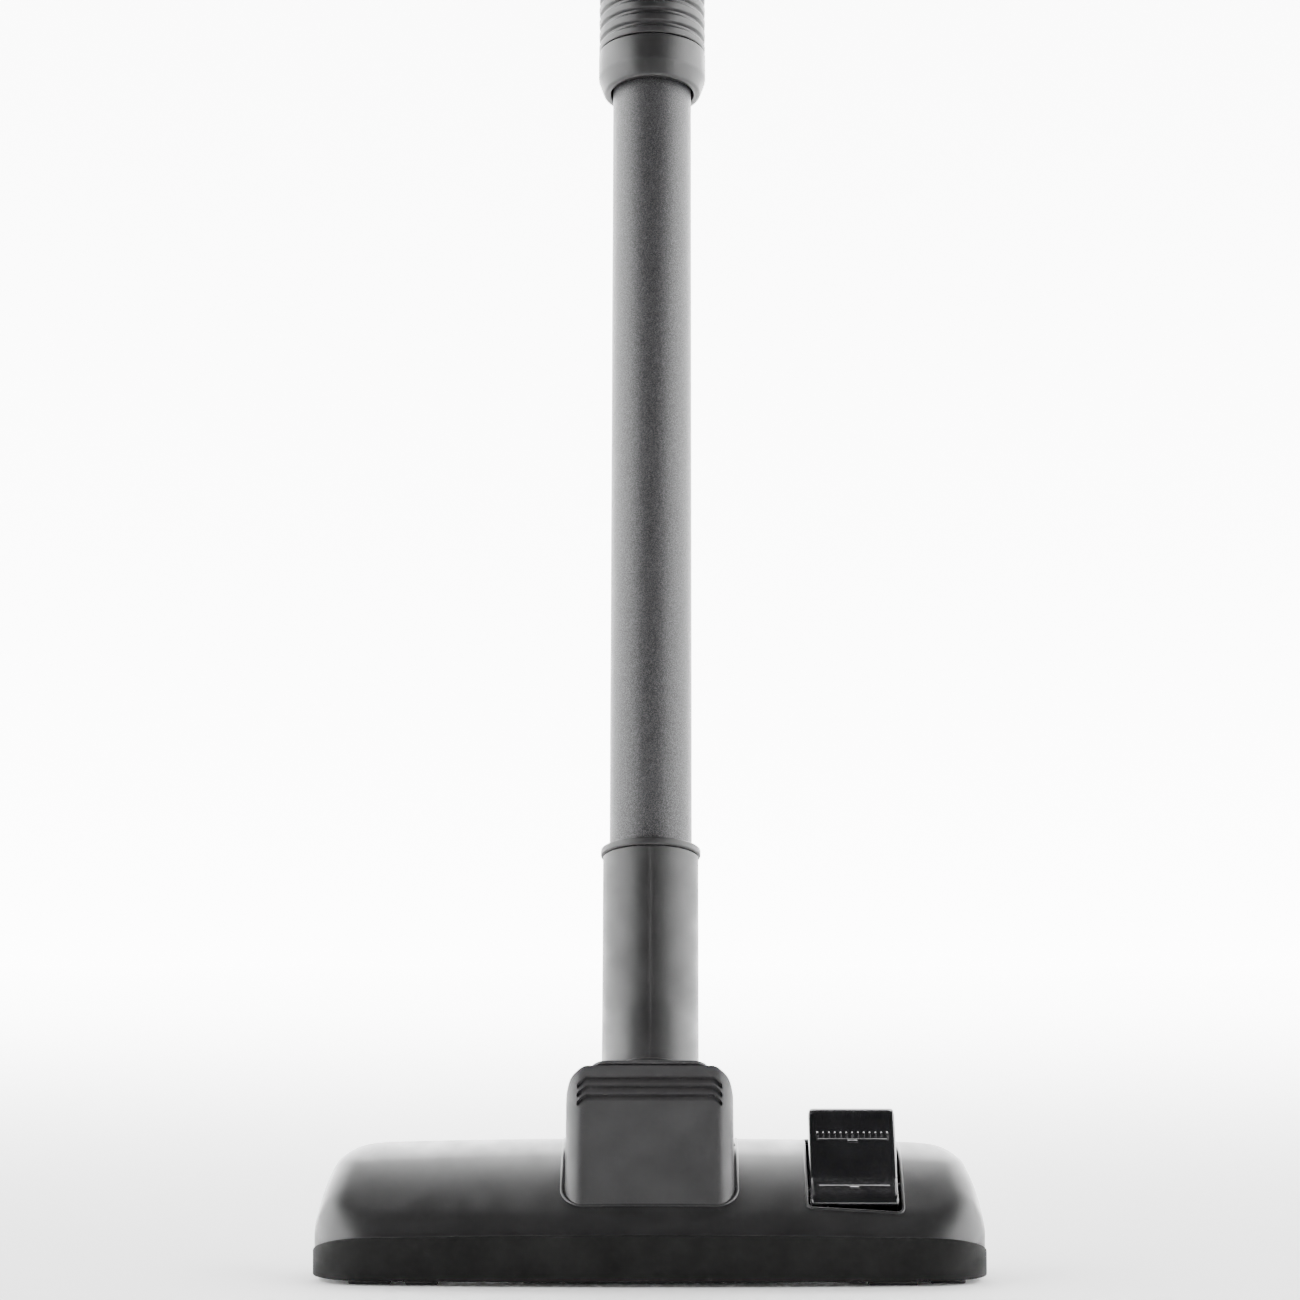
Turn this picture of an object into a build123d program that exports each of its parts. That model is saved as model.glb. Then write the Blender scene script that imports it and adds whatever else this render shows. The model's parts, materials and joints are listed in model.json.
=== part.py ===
"""Floor tool and telescopic wand of a canister vacuum cleaner.

Millimetres, +Z up, X across the floor tool, +Y towards the person who holds the wand.
The origin is on the floor below the middle of the tool's body.
"""

from build123d import *
import math
import os

# ---------------------------------------------------------------- driving dimensions
# floor tool body
half_width = 137.0
nose_y = -46.0
tail_y = 46.0
nose_bow = 8.0
tail_taper = 9.0
widest_y = -13.0
front_corner = 24.0
rear_corner = 22.0
crease_z = 20.0
crown_z = 55.5
shoulder_drop = 4.5
end_draft = 4.5
end_round = 11.0
shell_wall = 2.5
seam_front_z = 21.5
seam_slope = 0.3
seam_side_z = 8.5
seam_gap = 0.5
nose_lead = 1.5

# bumper, base and sole
bumper_proud = 0.8
bumper_wall = 3.0
bumper_floor_z = 2.0
fit_gap = 0.4
base_floor_z = 3.9
base_floor = 2.4
base_wall = 2.0
base_wall_top = 14.5
sole_thickness = 1.5
sole_inset = 4.0
lint_height = 1.0
mouth_half_length = 104.0
mouth_front_y = -29.5
mouth_depth = 18.5
brush_half_length = 80.0
brush_slot_width = 6.0
front_brush_y = -35.5
rear_brush_y = 20.0
rear_brush_inner = 43.0
rear_brush_outer = 78.0

# tilting hub
hub_y = -3.0
hub_z = 34.0
drum_radius = 25.5
hub_half_width = 34.6
hub_top_half_width = 34.2
hub_lean = 16.3
hub_front_top_z = 87.4
hub_round = 9.8
hub_corner = 7.5
hub_face_proud = 0.05
hub_wall = 3.8
hub_depth_margin = 6.75
bay_gap = 1.1
thrust_setback = 6.5
thrust_gap = 0.3
trunnion_radius = 6.0
trunnion_clearance = 0.05
bracket_thickness = 5.0
hub_air_height = 13.0
vent_count = 3
vent_pitch = 3.4
vent_height = 2.3
vent_depth = 2.8
vent_hook = 2.6
vent_hook_width = 3.6
vent_half_width = 29.8
vent_first_drop = 4.8
plate_thickness = 2.4
plate_groove = 0.9
plate_groove_depth = 1.8
plate_margin = 2.0
plate_setback = 0.4
plate_corner = 7.0
deck_thickness = 5.8

# swivelling neck
swivel_lean = 36.0
mitre_height = 103.0
neck_radius = 20.25
neck_wall = 2.55
neck_mouth = 74.3
neck_ring_lip = 0.95
neck_ring_length = 3.5
neck_flange_lip = 1.75
neck_flange = 3.0
swivel_clearance = 0.35
seal_width = 2.0
seal_height = 4.2

# wand
wand_lean = 16.3
tube_radius = 17.5
tube_wall = 0.8
tube_socket_clearance = 0.15
tube_insert = 45.0
tube_length = 471.0
inner_radius = 16.0
inner_wall = 0.6
inner_foot = 100.0
slide_clearance = 0.07
slide_ring_length = 12.0
bush_length = 11.0
telescope_travel = 320.0
sleeve_reach = 74.3
collar_length = 19.8
sleeve_radius = 24.0
rib_count = 6
rib_pitch = 6.3
rib_depth = 1.5
slider_neck = 13.0
slider_travel = 6.0
cap_length = 17.0
socket_length = 53.0
socket_radius = 19.8
handle_bore = 17.6
handle_bore_depth = 35.0
socket_seal_height = 1.6
socket_seal_seat = 0.9
notch_pitch = 40.0
notch_count = 7

# pedal and brush lift
pedal_x = 83.5
pedal_half_width = 18.0
pedal_gap = 1.6
pedal_wall = 2.2
pedal_pivot_y = -2.0
pedal_pivot_z = 34.0
pedal_pin_radius = 1.5
pedal_rock = 22.0
pin_clearance = 0.06
brush_drop = 4.8
lift_reach = 14.0
lift_drop = 6.0
lift_pin_radius = 2.0
holder_low = 8.5
holder_high = 14.0
arm_low = 11.6
bristle_tip = 1.2

# rear wheels
wheel_x = 88.0
wheel_y = 54.0
wheel_radius = 12.0
wheel_half_width = 6.5
tyre_thickness = 2.2
axle_radius = 2.5
axle_clearance = 0.05
wheel_gap = 1.2
ear_gap = 0.2
ear_thickness = 2.6
pocket_gap = 1.6
housing_wall = 1.5

# fasteners
screw_radius = 1.5
screw_head_radius = 3.0
screw_length = 11.0
cap_screw_radius = 1.0

OUT = "parts"
os.makedirs(OUT, exist_ok=True)


def save(piece, name):
    """Labels a finished piece and writes it as one STEP file."""
    piece.label = name
    export_step(piece, os.path.join(OUT, name + ".step"))


# ---------------------------------------------------------------- sizes that follow from those above
neck_ring_radius = neck_radius + neck_ring_lip
neck_flange_radius = neck_radius + neck_flange_lip
seal_radius = neck_radius + swivel_clearance + seal_width
plate_half_width = seal_radius + plate_margin
hub_depth_half = neck_radius + hub_depth_margin


# ---------------------------------------------------------------- shared frames
def leaning_frame(y, z, lean):
    """A plane whose normal leans back from the vertical by lean degrees."""
    a = math.radians(lean)
    return Plane(origin=(0, y, z), x_dir=(1, 0, 0), z_dir=(0, math.sin(a), math.cos(a)))


def long_section(frame):
    """The plane through a frame's axis, with local Y along that axis."""
    return Plane(origin=frame.origin, x_dir=(1, 0, 0), z_dir=-frame.y_dir)


hub_slope = math.radians(hub_lean)
hub_frame = leaning_frame(hub_y, hub_z, hub_lean)
face_foot_y = hub_y - drum_radius * math.cos(hub_slope)
face_foot_z = hub_z + drum_radius * math.sin(hub_slope)
hub_top_y = face_foot_y + (hub_front_top_z - face_foot_z) * math.tan(hub_slope)
swivel = math.radians(swivel_lean)
collar_y = hub_top_y + hub_depth_half * math.cos(swivel)
collar_z = hub_front_top_z - hub_depth_half * math.sin(swivel)
swivel_frame = leaning_frame(collar_y, collar_z, swivel_lean)
mitre_y = collar_y + (mitre_height - collar_z) * math.tan(swivel)
neck_stem = (mitre_height - collar_z) / math.cos(swivel)
wand_frame = leaning_frame(mitre_y, mitre_height, wand_lean)
mitre_plane = leaning_frame(mitre_y, mitre_height, (swivel_lean + wand_lean) / 2)
tube_foot = neck_mouth - tube_insert
tube_top = tube_foot + tube_length
sleeve_bottom = tube_top - sleeve_reach
collar_top = sleeve_bottom + collar_length
slider_bottom = collar_top + seam_gap
rib_top = slider_bottom + rib_count * rib_pitch
slider_top = rib_top + slider_neck
cap_bottom = rib_top + slider_travel + seam_gap
cap_top = cap_bottom + cap_length
cap_shoulder = slider_top + slider_travel + seam_gap
socket_bottom = cap_top + fit_gap
socket_top = socket_bottom + socket_length
key_place = rib_top - 2.5 * rib_pitch


def turned(frame, profile):
    """Revolves a closed profile of (radius, height) points about the frame's axis."""
    section = long_section(frame)
    with BuildPart() as piece:
        with BuildSketch(section):
            with BuildLine():
                Polyline(*profile, close=True)
            make_face()
        revolve(axis=Axis(section.origin, section.y_dir))
    return piece.part


def ring(frame, inner, outer, low, high):
    """A plain ring between two radii and two heights of a frame."""
    return turned(frame, [(inner, low), (outer, low), (outer, high), (inner, high)])


def across(sketch_points, half_length, centre_x=0.0):
    """A closed outline in the side view, extruded both ways across the tool."""
    with BuildPart() as piece:
        with BuildSketch(Plane.YZ.offset(centre_x)):
            with BuildLine():
                Polyline(*sketch_points, close=True)
            make_face()
        extrude(amount=half_length, both=True)
    return piece.part


def rod(radius, y, z, low_x, high_x):
    """A round bar along X."""
    with BuildPart() as piece:
        with BuildSketch(Plane.YZ.offset(low_x)):
            with Locations((y, z)):
                Circle(radius)
        extrude(amount=high_x - low_x)
    return piece.part


def block(low, high):
    """A box between two corners."""
    size = [b - a for a, b in zip(low, high)]
    centre = [(a + b) / 2 for a, b in zip(low, high)]
    with BuildPart() as piece:
        with Locations(tuple(centre)):
            Box(*size)
    return piece.part


# ---------------------------------------------------------------- floor tool body
def plan(inset):
    """The tool's outline from above, drawn in by inset."""
    hw, nose, tail = half_width - inset, nose_y + inset, tail_y - inset
    with BuildSketch() as outline:
        with BuildLine():
            front = ThreePointArc((2 - hw, nose + nose_bow), (0, nose), (hw - 2, nose + nose_bow))
            right = Polyline(front @ 1, (hw, widest_y), (hw - tail_taper, tail))
            rear = Line(right @ 1, (tail_taper - hw, tail))
            Polyline(rear @ 1, (-hw, widest_y), front @ 0)
        make_face()
        fillet(outline.vertices().group_by(Axis.Y)[-1], radius=rear_corner - inset)
        fillet(outline.vertices().sort_by(Axis.Y)[0:2], radius=front_corner - inset)
    return outline.sketch


def prism(outline, low, high):
    """A plan outline extruded between two heights."""
    with BuildPart() as piece:
        with BuildSketch(Plane.XY.offset(low)):
            add(outline)
        extrude(amount=high - low)
    return piece.part


bow_radius = (half_width**2 + nose_bow**2) / (2 * nose_bow)


def dome(inset, floor_z):
    """The body's domed envelope: bowed side profile, crowned front profile and plan together."""
    hw, top = half_width - inset, crown_z - inset
    crease = crease_z - 0.4 * inset
    with BuildPart() as bowed:
        with BuildSketch(Plane.YZ):
            with BuildLine():
                # the slope runs on a little past the nose, where the plan trims it
                lead_y, lead_z = nose_y + inset - nose_lead, crease - nose_lead / 0.75
                front_edge = Polyline((tail_y + 20, floor_z), (lead_y, floor_z), (lead_y, lead_z))
                foot = Line(front_edge @ 1, (nose_y + inset, crease))
                slope = Spline(
                    foot @ 1,
                    (-27.0, 35.0 - inset),
                    (0.0, 48.3 - inset),
                    (26.0, top + 0.2),
                    tangents=((0.75, 1), (1, 0.02)),
                )
                roof = Line(slope @ 1, (tail_y + 20, top + 0.2))
                Line(roof @ 1, front_edge @ 0)
            make_face()
        revolve(axis=Axis((0, nose_y + bow_radius, 0), (0, 0, 1)))
    with BuildPart() as body:
        add(prism(plan(inset), floor_z - 1, crown_z + 10))
        with BuildSketch(Plane.XZ) as front:
            with BuildLine():
                side = Polyline(
                    (-hw, floor_z), (hw, floor_z), (hw, crease_z), (hw - end_draft, top - shoulder_drop)
                )
                crown = ThreePointArc(side @ 1, (0, top), (-hw + end_draft, top - shoulder_drop))
                Polyline(crown @ 1, (-hw, crease_z), side @ 0)
            make_face()
            fillet(front.vertices().sort_by(Axis.Y)[-2:], radius=end_round - inset)
        extrude(amount=200, both=True, mode=Mode.INTERSECT)
        add(bowed.part, mode=Mode.INTERSECT)
    return body.part


def below_seam(shift):
    """Everything under the parting line between shell and bumper, which falls along the sides."""
    turn_y = nose_y + (seam_front_z - seam_side_z) / seam_slope
    outline = [
        (nose_y - 30, seam_front_z + 30 * seam_slope + shift),
        (turn_y, seam_side_z + shift),
        (tail_y + 30, seam_side_z + shift),
        (tail_y + 30, -40),
        (nose_y - 30, -40),
    ]
    return across(outline, half_width + 20)


def hub_bay(gap):
    """The room in which the hub's drum turns, open at the back, with rounded front corners."""
    half = hub_half_width + gap
    front_y = hub_y - drum_radius - gap
    back_y = tail_y + 30
    with BuildPart() as piece:
        add(rod(drum_radius + gap, hub_y, hub_z, -half, half))
        add(block((-half, hub_y, hub_z - drum_radius - gap), (half, back_y, 120)))
        add(block((-half, face_foot_y - gap, hub_z), (half, hub_y + 1, 120)))
        with BuildSketch() as outline:
            with Locations((0, (front_y + back_y) / 2)):
                Rectangle(2 * half, back_y - front_y)
            fillet(outline.vertices().group_by(Axis.Y)[0], radius=hub_corner + gap)
        extrude(amount=120, mode=Mode.INTERSECT)
    return piece.part


pedal_window = block(
    (pedal_x - pedal_half_width - pedal_gap, -29.6, pedal_pivot_z - 16),
    (pedal_x + pedal_half_width + pedal_gap, 32.0, 90),
)
screw_places = [(-118, -18), (118, -12), (-50, 33), (50, 33), (-108, 28), (108, 28)]
wheel_pocket_half = wheel_half_width + wheel_gap
pocket_front_y = wheel_y - wheel_radius - pocket_gap
ear_outer = wheel_pocket_half + ear_gap + ear_thickness


def wheel_pockets(top):
    """Room for the two rear wheels, open at the back and below."""
    with BuildPart() as piece:
        for side in (-1, 1):
            add(
                block(
                    (side * wheel_x - wheel_pocket_half, pocket_front_y, -1),
                    (side * wheel_x + wheel_pocket_half, tail_y + 40, top),
                )
            )
    return piece.part


def ear_room(grow, low, top):
    """Room round the wheels and the base's axle ears, or with grow the housing round that room."""
    reach = ear_outer + fit_gap + grow
    with BuildPart() as piece:
        for side in (-1, 1):
            near = (side * wheel_x - reach, pocket_front_y - housing_wall - 1.3 - grow, low)
            far = (side * wheel_x + reach, tail_y + 40, top + grow)
            add(block(near, far))
    return piece.part


def make_top_shell():
    with BuildPart() as bosses:
        with BuildSketch(Plane.XY.offset(base_floor_z + base_floor + fit_gap)):
            with Locations(*screw_places):
                Circle(3.6)
        extrude(amount=60)
        with BuildSketch(Plane.XY):
            with Locations(*screw_places):
                Circle(screw_radius)
        extrude(amount=base_floor_z + screw_length, mode=Mode.SUBTRACT)
        add(dome(shell_wall - 0.6, 0), mode=Mode.INTERSECT)
    ear_top = wheel_radius * 2 + 3.5
    with BuildPart() as housings:
        add(ear_room(housing_wall, base_wall_top + fit_gap, ear_top))
        add(dome(shell_wall - 0.6, 0), mode=Mode.INTERSECT)
    with BuildPart() as shell:
        add(dome(0, 2))
        add(dome(shell_wall, -4), mode=Mode.SUBTRACT)
        add(below_seam(0), mode=Mode.SUBTRACT)
        add(bosses.part)
        add(housings.part)
        add(hub_bay(bay_gap), mode=Mode.SUBTRACT)
        add(pedal_window, mode=Mode.SUBTRACT)
        add(ear_room(0, -1, ear_top), mode=Mode.SUBTRACT)
    return shell.part


def make_bumper():
    with BuildPart() as bumper:
        add(prism(plan(-bumper_proud), bumper_floor_z, seam_front_z + 5))
        add(prism(plan(bumper_wall - bumper_proud), 0, 60), mode=Mode.SUBTRACT)
        add(below_seam(-seam_gap), mode=Mode.INTERSECT)
        add(hub_bay(bay_gap + bracket_thickness), mode=Mode.SUBTRACT)
        add(ear_room(0, -1, 60), mode=Mode.SUBTRACT)
    return bumper.part


def brush_slots(grow, low, high):
    """The through slots for one front and two rear brush rows."""
    half = brush_slot_width / 2 - 0.4 + grow
    front = brush_half_length + grow
    with BuildPart() as slots:
        add(block((-front, front_brush_y - half, low), (front, front_brush_y + half, high)))
        for side in (-1, 1):
            ends = sorted((side * (rear_brush_inner - grow), side * (rear_brush_outer + grow)))
            add(block((ends[0], rear_brush_y - half, low), (ends[1], rear_brush_y + half, high)))
    return slots.part


def make_base_tray():
    floor_top = base_floor_z + base_floor
    rim = bumper_wall - bumper_proud + fit_gap
    half = hub_half_width + bay_gap
    with BuildPart() as tray:
        add(prism(plan(rim), base_floor_z, base_wall_top))
        add(prism(plan(rim + base_wall), floor_top, base_wall_top + 1), mode=Mode.SUBTRACT)
        mouth_rear_y = mouth_front_y + mouth_depth
        far = (mouth_half_length, mouth_rear_y, floor_top + 1)
        add(block((-mouth_half_length, mouth_front_y, 0), far), mode=Mode.SUBTRACT)
        add(brush_slots(1.0, 0, floor_top + 1), mode=Mode.SUBTRACT)
        # the rear wall stays low where the hub lies down
        add(block((-half, hub_y, floor_top), (half, tail_y + 5, 60)), mode=Mode.SUBTRACT)
        add(wheel_pockets(60), mode=Mode.SUBTRACT)
        # ears for the rear axles
        for side in (-1, 1):
            for edge in (-1, 1):
                inner = side * wheel_x + edge * (wheel_pocket_half + ear_gap)
                ends = sorted((inner, inner + edge * ear_thickness))
                add(block((ends[0], 38, base_floor_z), (ends[1], wheel_y + 4, wheel_radius)))
                add(rod(4, wheel_y, wheel_radius, ends[0], ends[1]))
            # the wall in front of the wheel
            low = (side * wheel_x - ear_outer, pocket_front_y - housing_wall, base_floor_z)
            add(block(low, (side * wheel_x + ear_outer, pocket_front_y, base_wall_top)))
            reach = ear_outer + 1
            hole = rod(axle_radius, wheel_y, wheel_radius, side * wheel_x - reach, side * wheel_x + reach)
            add(hole, mode=Mode.SUBTRACT)
        # lower halves of the hub's two bearings
        for side in (-1, 1):
            ends = sorted((side * half, side * (half + bracket_thickness)))
            add(block((ends[0], hub_y - 14, floor_top - 0.2), (ends[1], hub_y + 14, hub_z)))
        bore = rod(trunnion_radius + trunnion_clearance, hub_y, hub_z, -half - 9, half + 9)
        add(bore, mode=Mode.SUBTRACT)
        # posts for the pedal's pin
        for side in (-1, 1):
            inner = pedal_x + side * (pedal_half_width + 0.5)
            ends = sorted((inner, inner + side * 2.6))
            near = (ends[0], pedal_pivot_y - 5, floor_top - 0.2)
            add(block(near, (ends[1], pedal_pivot_y + 5, pedal_pivot_z)))
            add(rod(4, pedal_pivot_y, pedal_pivot_z, ends[0], ends[1]))
        reach = pedal_half_width + 8
        pin_hole = rod(pedal_pin_radius, pedal_pivot_y, pedal_pivot_z, pedal_x - reach, pedal_x + reach)
        add(pin_hole, mode=Mode.SUBTRACT)
        with Locations(*[(x, y, base_floor_z) for x, y in screw_places]):
            Cylinder(screw_radius + 0.2, 20, mode=Mode.SUBTRACT)
    return tray.part


def make_sole_plate():
    low, high = base_floor_z - sole_thickness, base_floor_z
    mouth_rear_y = mouth_front_y + mouth_depth
    far = (mouth_half_length - 1, mouth_rear_y - 1, 9)
    mouth = block((1 - mouth_half_length, mouth_front_y + 1, 0), far)
    with BuildPart() as plate:
        add(prism(plan(sole_inset), low, high))
        add(mouth, mode=Mode.SUBTRACT)
        add(brush_slots(0.6, 0, 9), mode=Mode.SUBTRACT)
        add(wheel_pockets(60), mode=Mode.SUBTRACT)
        with Locations(*[(x, y, high) for x, y in screw_places]):
            Cylinder(screw_head_radius + 0.3, 20, mode=Mode.SUBTRACT)
    return plate.part


def strips(places, low, high):
    """Flat strips, each (x, y, width, depth), between two heights."""
    with BuildPart() as piece:
        for x, y, width, depth in places:
            add(block((x - width / 2, y - depth / 2, low), (x + width / 2, y + depth / 2, high)))
    return piece.part


glide_places = [(-113.3, -31.0, 17, 6), (-92.0, -34.0, 13, 6), (98.5, -33.5, 20, 6), (121.0, -27.0, 14, 6)]
lint_places = [(0, -6.5, 190, 5), (0, 3.5, 190, 5)]


def upright_screws(places, shaft, head, head_low, length):
    """Round-headed screws put in from below."""
    with BuildPart() as screws:
        with BuildSketch(Plane.XY.offset(head_low)):
            with Locations(*places):
                Circle(head)
        extrude(amount=1.5)
        with BuildSketch(Plane.XY.offset(head_low + 1.5)):
            with Locations(*places):
                Circle(shaft)
        extrude(amount=length)
        with BuildSketch(Plane.XY.offset(head_low)):
            with Locations(*places):
                Rectangle(0.8, 3.4)
                Rectangle(3.4, 0.8)
        extrude(amount=0.9, mode=Mode.SUBTRACT)
    return screws.part


def make_bearing_caps():
    half = hub_half_width + bay_gap
    with BuildPart() as caps:
        for side in (-1, 1):
            ends = sorted((side * half, side * (half + bracket_thickness)))
            add(rod(8.6, hub_y, hub_z, ends[0], ends[1]))
            add(block((ends[0], hub_y - 14, hub_z), (ends[1], hub_y + 14, hub_z + 2)))
        add(block((-60, hub_y - 30, 0), (60, hub_y + 30, hub_z)), mode=Mode.SUBTRACT)
        bore = rod(trunnion_radius + trunnion_clearance, hub_y, hub_z, -half - 9, half + 9)
        add(bore, mode=Mode.SUBTRACT)
    return caps.part


cap_screw_x = hub_half_width + bay_gap + bracket_thickness / 2
cap_screw_places = [(sx * cap_screw_x, hub_y + sy * 11.4) for sx in (-1, 1) for sy in (-1, 1)]


def make_cap_screws():
    with BuildPart() as screws:
        with BuildSketch(Plane.XY.offset(hub_z + 2)):
            with Locations(*cap_screw_places):
                Circle(1.9)
        extrude(amount=1.2)
        with BuildSketch(Plane.XY.offset(hub_z + 2)):
            with Locations(*cap_screw_places):
                Circle(cap_screw_radius)
        extrude(amount=-9)
        with BuildSketch(Plane.XY.offset(hub_z + 3.2)):
            with Locations(*cap_screw_places):
                Rectangle(2.4, 0.6)
        extrude(amount=-0.6, mode=Mode.SUBTRACT)
    return screws.part


def cap_screw_holes():
    with BuildPart() as holes:
        with BuildSketch(Plane.XY.offset(hub_z + 2)):
            with Locations(*cap_screw_places):
                Circle(cap_screw_radius)
        extrude(amount=-9)
    return holes.part


def make_wipers():
    foot = base_floor_z + base_floor
    half = hub_half_width + bay_gap - 0.4
    near = hub_y - drum_radius
    front = across(
        [(near - 3.5, foot), (near - 1.3, foot), (near + 3.2, 19.5), (near + 0.9, 24.5), (near - 1.2, 24.5)],
        half,
    )
    far = hub_y + drum_radius
    rear = across([(far - 5.6, foot), (far - 3.4, foot), (far - 3.2, 9.2), (far - 5.6, 9.2)], half)
    return front, rear


# ---------------------------------------------------------------- wheels
def wheel_ring(side, inner, outer, half):
    centre = side * wheel_x
    with BuildPart() as piece:
        add(rod(outer, wheel_y, wheel_radius, centre - half, centre + half))
        add(rod(inner, wheel_y, wheel_radius, centre - half - 1, centre + half + 1), mode=Mode.SUBTRACT)
    return piece.part


def make_wheel(side):
    rim = wheel_radius - tyre_thickness
    with BuildPart() as wheel:
        add(wheel_ring(side, axle_radius + axle_clearance, rim, wheel_half_width - 0.6))
        for edge in (-1, 1):
            dish_end = side * wheel_x + edge * (wheel_half_width + 1)
            ends = sorted((dish_end, side * wheel_x + edge * (wheel_half_width - 2)))
            add(rod(rim - 1.8, wheel_y, wheel_radius, ends[0], ends[1]), mode=Mode.SUBTRACT)
        ends = side * wheel_x - wheel_half_width, side * wheel_x + wheel_half_width
        add(rod(axle_radius + 2, wheel_y, wheel_radius, ends[0], ends[1]))
        hole = rod(axle_radius + axle_clearance, wheel_y, wheel_radius, ends[0] - 1, ends[1] + 1)
        add(hole, mode=Mode.SUBTRACT)
    return wheel.part


def make_axle(side):
    reach = wheel_pocket_half + 2.8
    return rod(axle_radius, wheel_y, wheel_radius, side * wheel_x - reach, side * wheel_x + reach)


# ---------------------------------------------------------------- pedal and brushes
pedal_side = [(-27.0, 33.6), (-13.0, 41.6), (12.6, 65.6), (16.6, 66.2), (19.8, 63.4), (21.5, 44.0)]
link_y = pedal_pivot_y + lift_reach
link_z = pedal_pivot_z - lift_drop


def make_pedal():
    y, z, x = pedal_pivot_y, pedal_pivot_z, pedal_x
    low, high = x - pedal_half_width, x + pedal_half_width
    boss = pedal_pin_radius + 2.2
    with BuildPart() as pedal:
        add(across(pedal_side + [(-20.0, 34.6)], pedal_half_width, x))
        room = [(-20.0, 30.0), (-19.4, 35.2), (-12.0, 39.4), (13.4, 63.2), (16.6, 63.2), (19.0, 43.0)]
        add(across(room, pedal_half_width - pedal_wall, x), mode=Mode.SUBTRACT)
        for side in (-1, 1):
            ends = sorted((x + side * pedal_half_width, x + side * (pedal_half_width - pedal_wall)))
            cheek = [(y - 6, z + 12), (y + 8, z + 12), (y + 3, z), (y - 3, z)]
            add(across(cheek, pedal_wall / 2, sum(ends) / 2))
        add(rod(boss, y, z, low, high))
        # the arm that works the brush lift
        arm = [(y - 2, z + 3), (y + 2, z + 3), (link_y + 2.4, link_z), (link_y - 2.4, link_z - 1.6)]
        add(across(arm, 1.2, x - 4))
        add(rod(3.2, link_y, link_z, x - 5.2, x - 2.8))
        add(rod(lift_pin_radius, link_y, link_z, x - 10.5, x - 4))
        add(rod(pedal_pin_radius + pin_clearance, y, z, low - 1, high + 1), mode=Mode.SUBTRACT)
    return pedal.part


def make_brush_frame():
    holder = brush_slot_width / 2 - 1.0
    bracket_x = pedal_x - 8.4
    with BuildPart() as frame:
        reach = brush_half_length - 1
        low = (-reach, front_brush_y - holder, holder_low)
        add(block(low, (reach, front_brush_y + holder, holder_high)))
        for side in (-1, 1):
            ends = sorted((side * (rear_brush_inner + 1), side * (rear_brush_outer - 1)))
            low = (ends[0], rear_brush_y - holder, holder_low)
            add(block(low, (ends[1], rear_brush_y + holder, holder_high)))
            ends = sorted((side * 71.0, side * 77.0))
            low, high = (ends[0], front_brush_y, arm_low), (ends[1], rear_brush_y, holder_high)
            add(block(low, high))
        # the slotted bracket that the pedal's pin works in
        low, high = (bracket_x - 1.4, link_y - 9, arm_low), (bracket_x + 1.4, link_y + 6, link_z + 5)
        add(block(low, high))
        with BuildSketch(Plane.YZ.offset(bracket_x - 3)):
            with Locations((link_y - 1.6, link_z)):
                SlotOverall(2 * lift_pin_radius + 5.2, 2 * lift_pin_radius + 1.0)
        extrude(amount=6, mode=Mode.SUBTRACT)
    return frame.part


def make_bristles():
    row = 1.3
    reach = brush_half_length - 2
    front = block(
        (-reach, front_brush_y - row, bristle_tip), (reach, front_brush_y + row, holder_low)
    )
    with BuildPart() as rear:
        for side in (-1, 1):
            ends = sorted((side * (rear_brush_inner + 2), side * (rear_brush_outer - 2)))
            add(block((ends[0], rear_brush_y - row, bristle_tip), (ends[1], rear_brush_y + row, holder_low)))
    return front, rear.part


# ---------------------------------------------------------------- hub
hub_back_y = collar_y + hub_depth_half * math.cos(swivel)
hub_back_z = collar_z - hub_depth_half * math.sin(swivel)
collar_screw_x = seal_radius - 3.0
collar_screw_y = seal_radius - 2.6
collar_screw_places = [(sx * collar_screw_x, sy * collar_screw_y) for sx in (-1, 1) for sy in (-1, 1)]


def drum(inset, half):
    """The hub's cross drum, with rounded rims."""
    with BuildPart() as piece:
        add(rod(drum_radius - inset, hub_y, hub_z, -half, half))
        fillet(piece.edges().filter_by(GeomType.CIRCLE), radius=hub_corner - inset)
    return piece.part


def hub_box(inset, half, top_half):
    """The leaning box that grows out of the drum, rounded at its front edges and its shoulders."""
    gy, gz = math.sin(hub_slope), math.cos(hub_slope)
    # the face stands a hair proud of the drum, so the two never merely touch
    depth = inset - hub_face_proud
    side_view = [
        (face_foot_y + depth * gz, face_foot_z - depth * gy),
        (hub_top_y + depth * gz + 12 * gy, hub_front_top_z - depth * gy + 12 * gz),
        (hub_back_y + 12 * gy, hub_back_z + 20),
        (hub_back_y - inset, hub_back_z - 4),
        (hub_y + drum_radius - inset, hub_z),
        (hub_y, hub_z - 1),
    ]
    reach = drum_radius - depth
    with BuildPart() as box:
        add(across(side_view, half))
        split(bisect_by=swivel_frame.offset(-inset), keep=Keep.BOTTOM)
        # rounded shoulders along the sloping top
        with BuildSketch(long_section(swivel_frame)) as front:
            with BuildLine():
                Polyline((-half, -100), (half, -100), (top_half, -inset), (-top_half, -inset), close=True)
            make_face()
            fillet(front.vertices().sort_by(Axis.Y)[-2:], radius=hub_round - inset)
        extrude(amount=120, both=True, mode=Mode.INTERSECT)
        # rounded upright edges at the front
        with BuildSketch(hub_frame) as outline:
            with Locations((0, 100 - reach)):
                Rectangle(2 * half, 200)
            fillet(outline.vertices().sort_by(Axis.Y)[0:2], radius=hub_corner - inset)
        extrude(amount=120, both=True, mode=Mode.INTERSECT)
    return box.part


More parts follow.
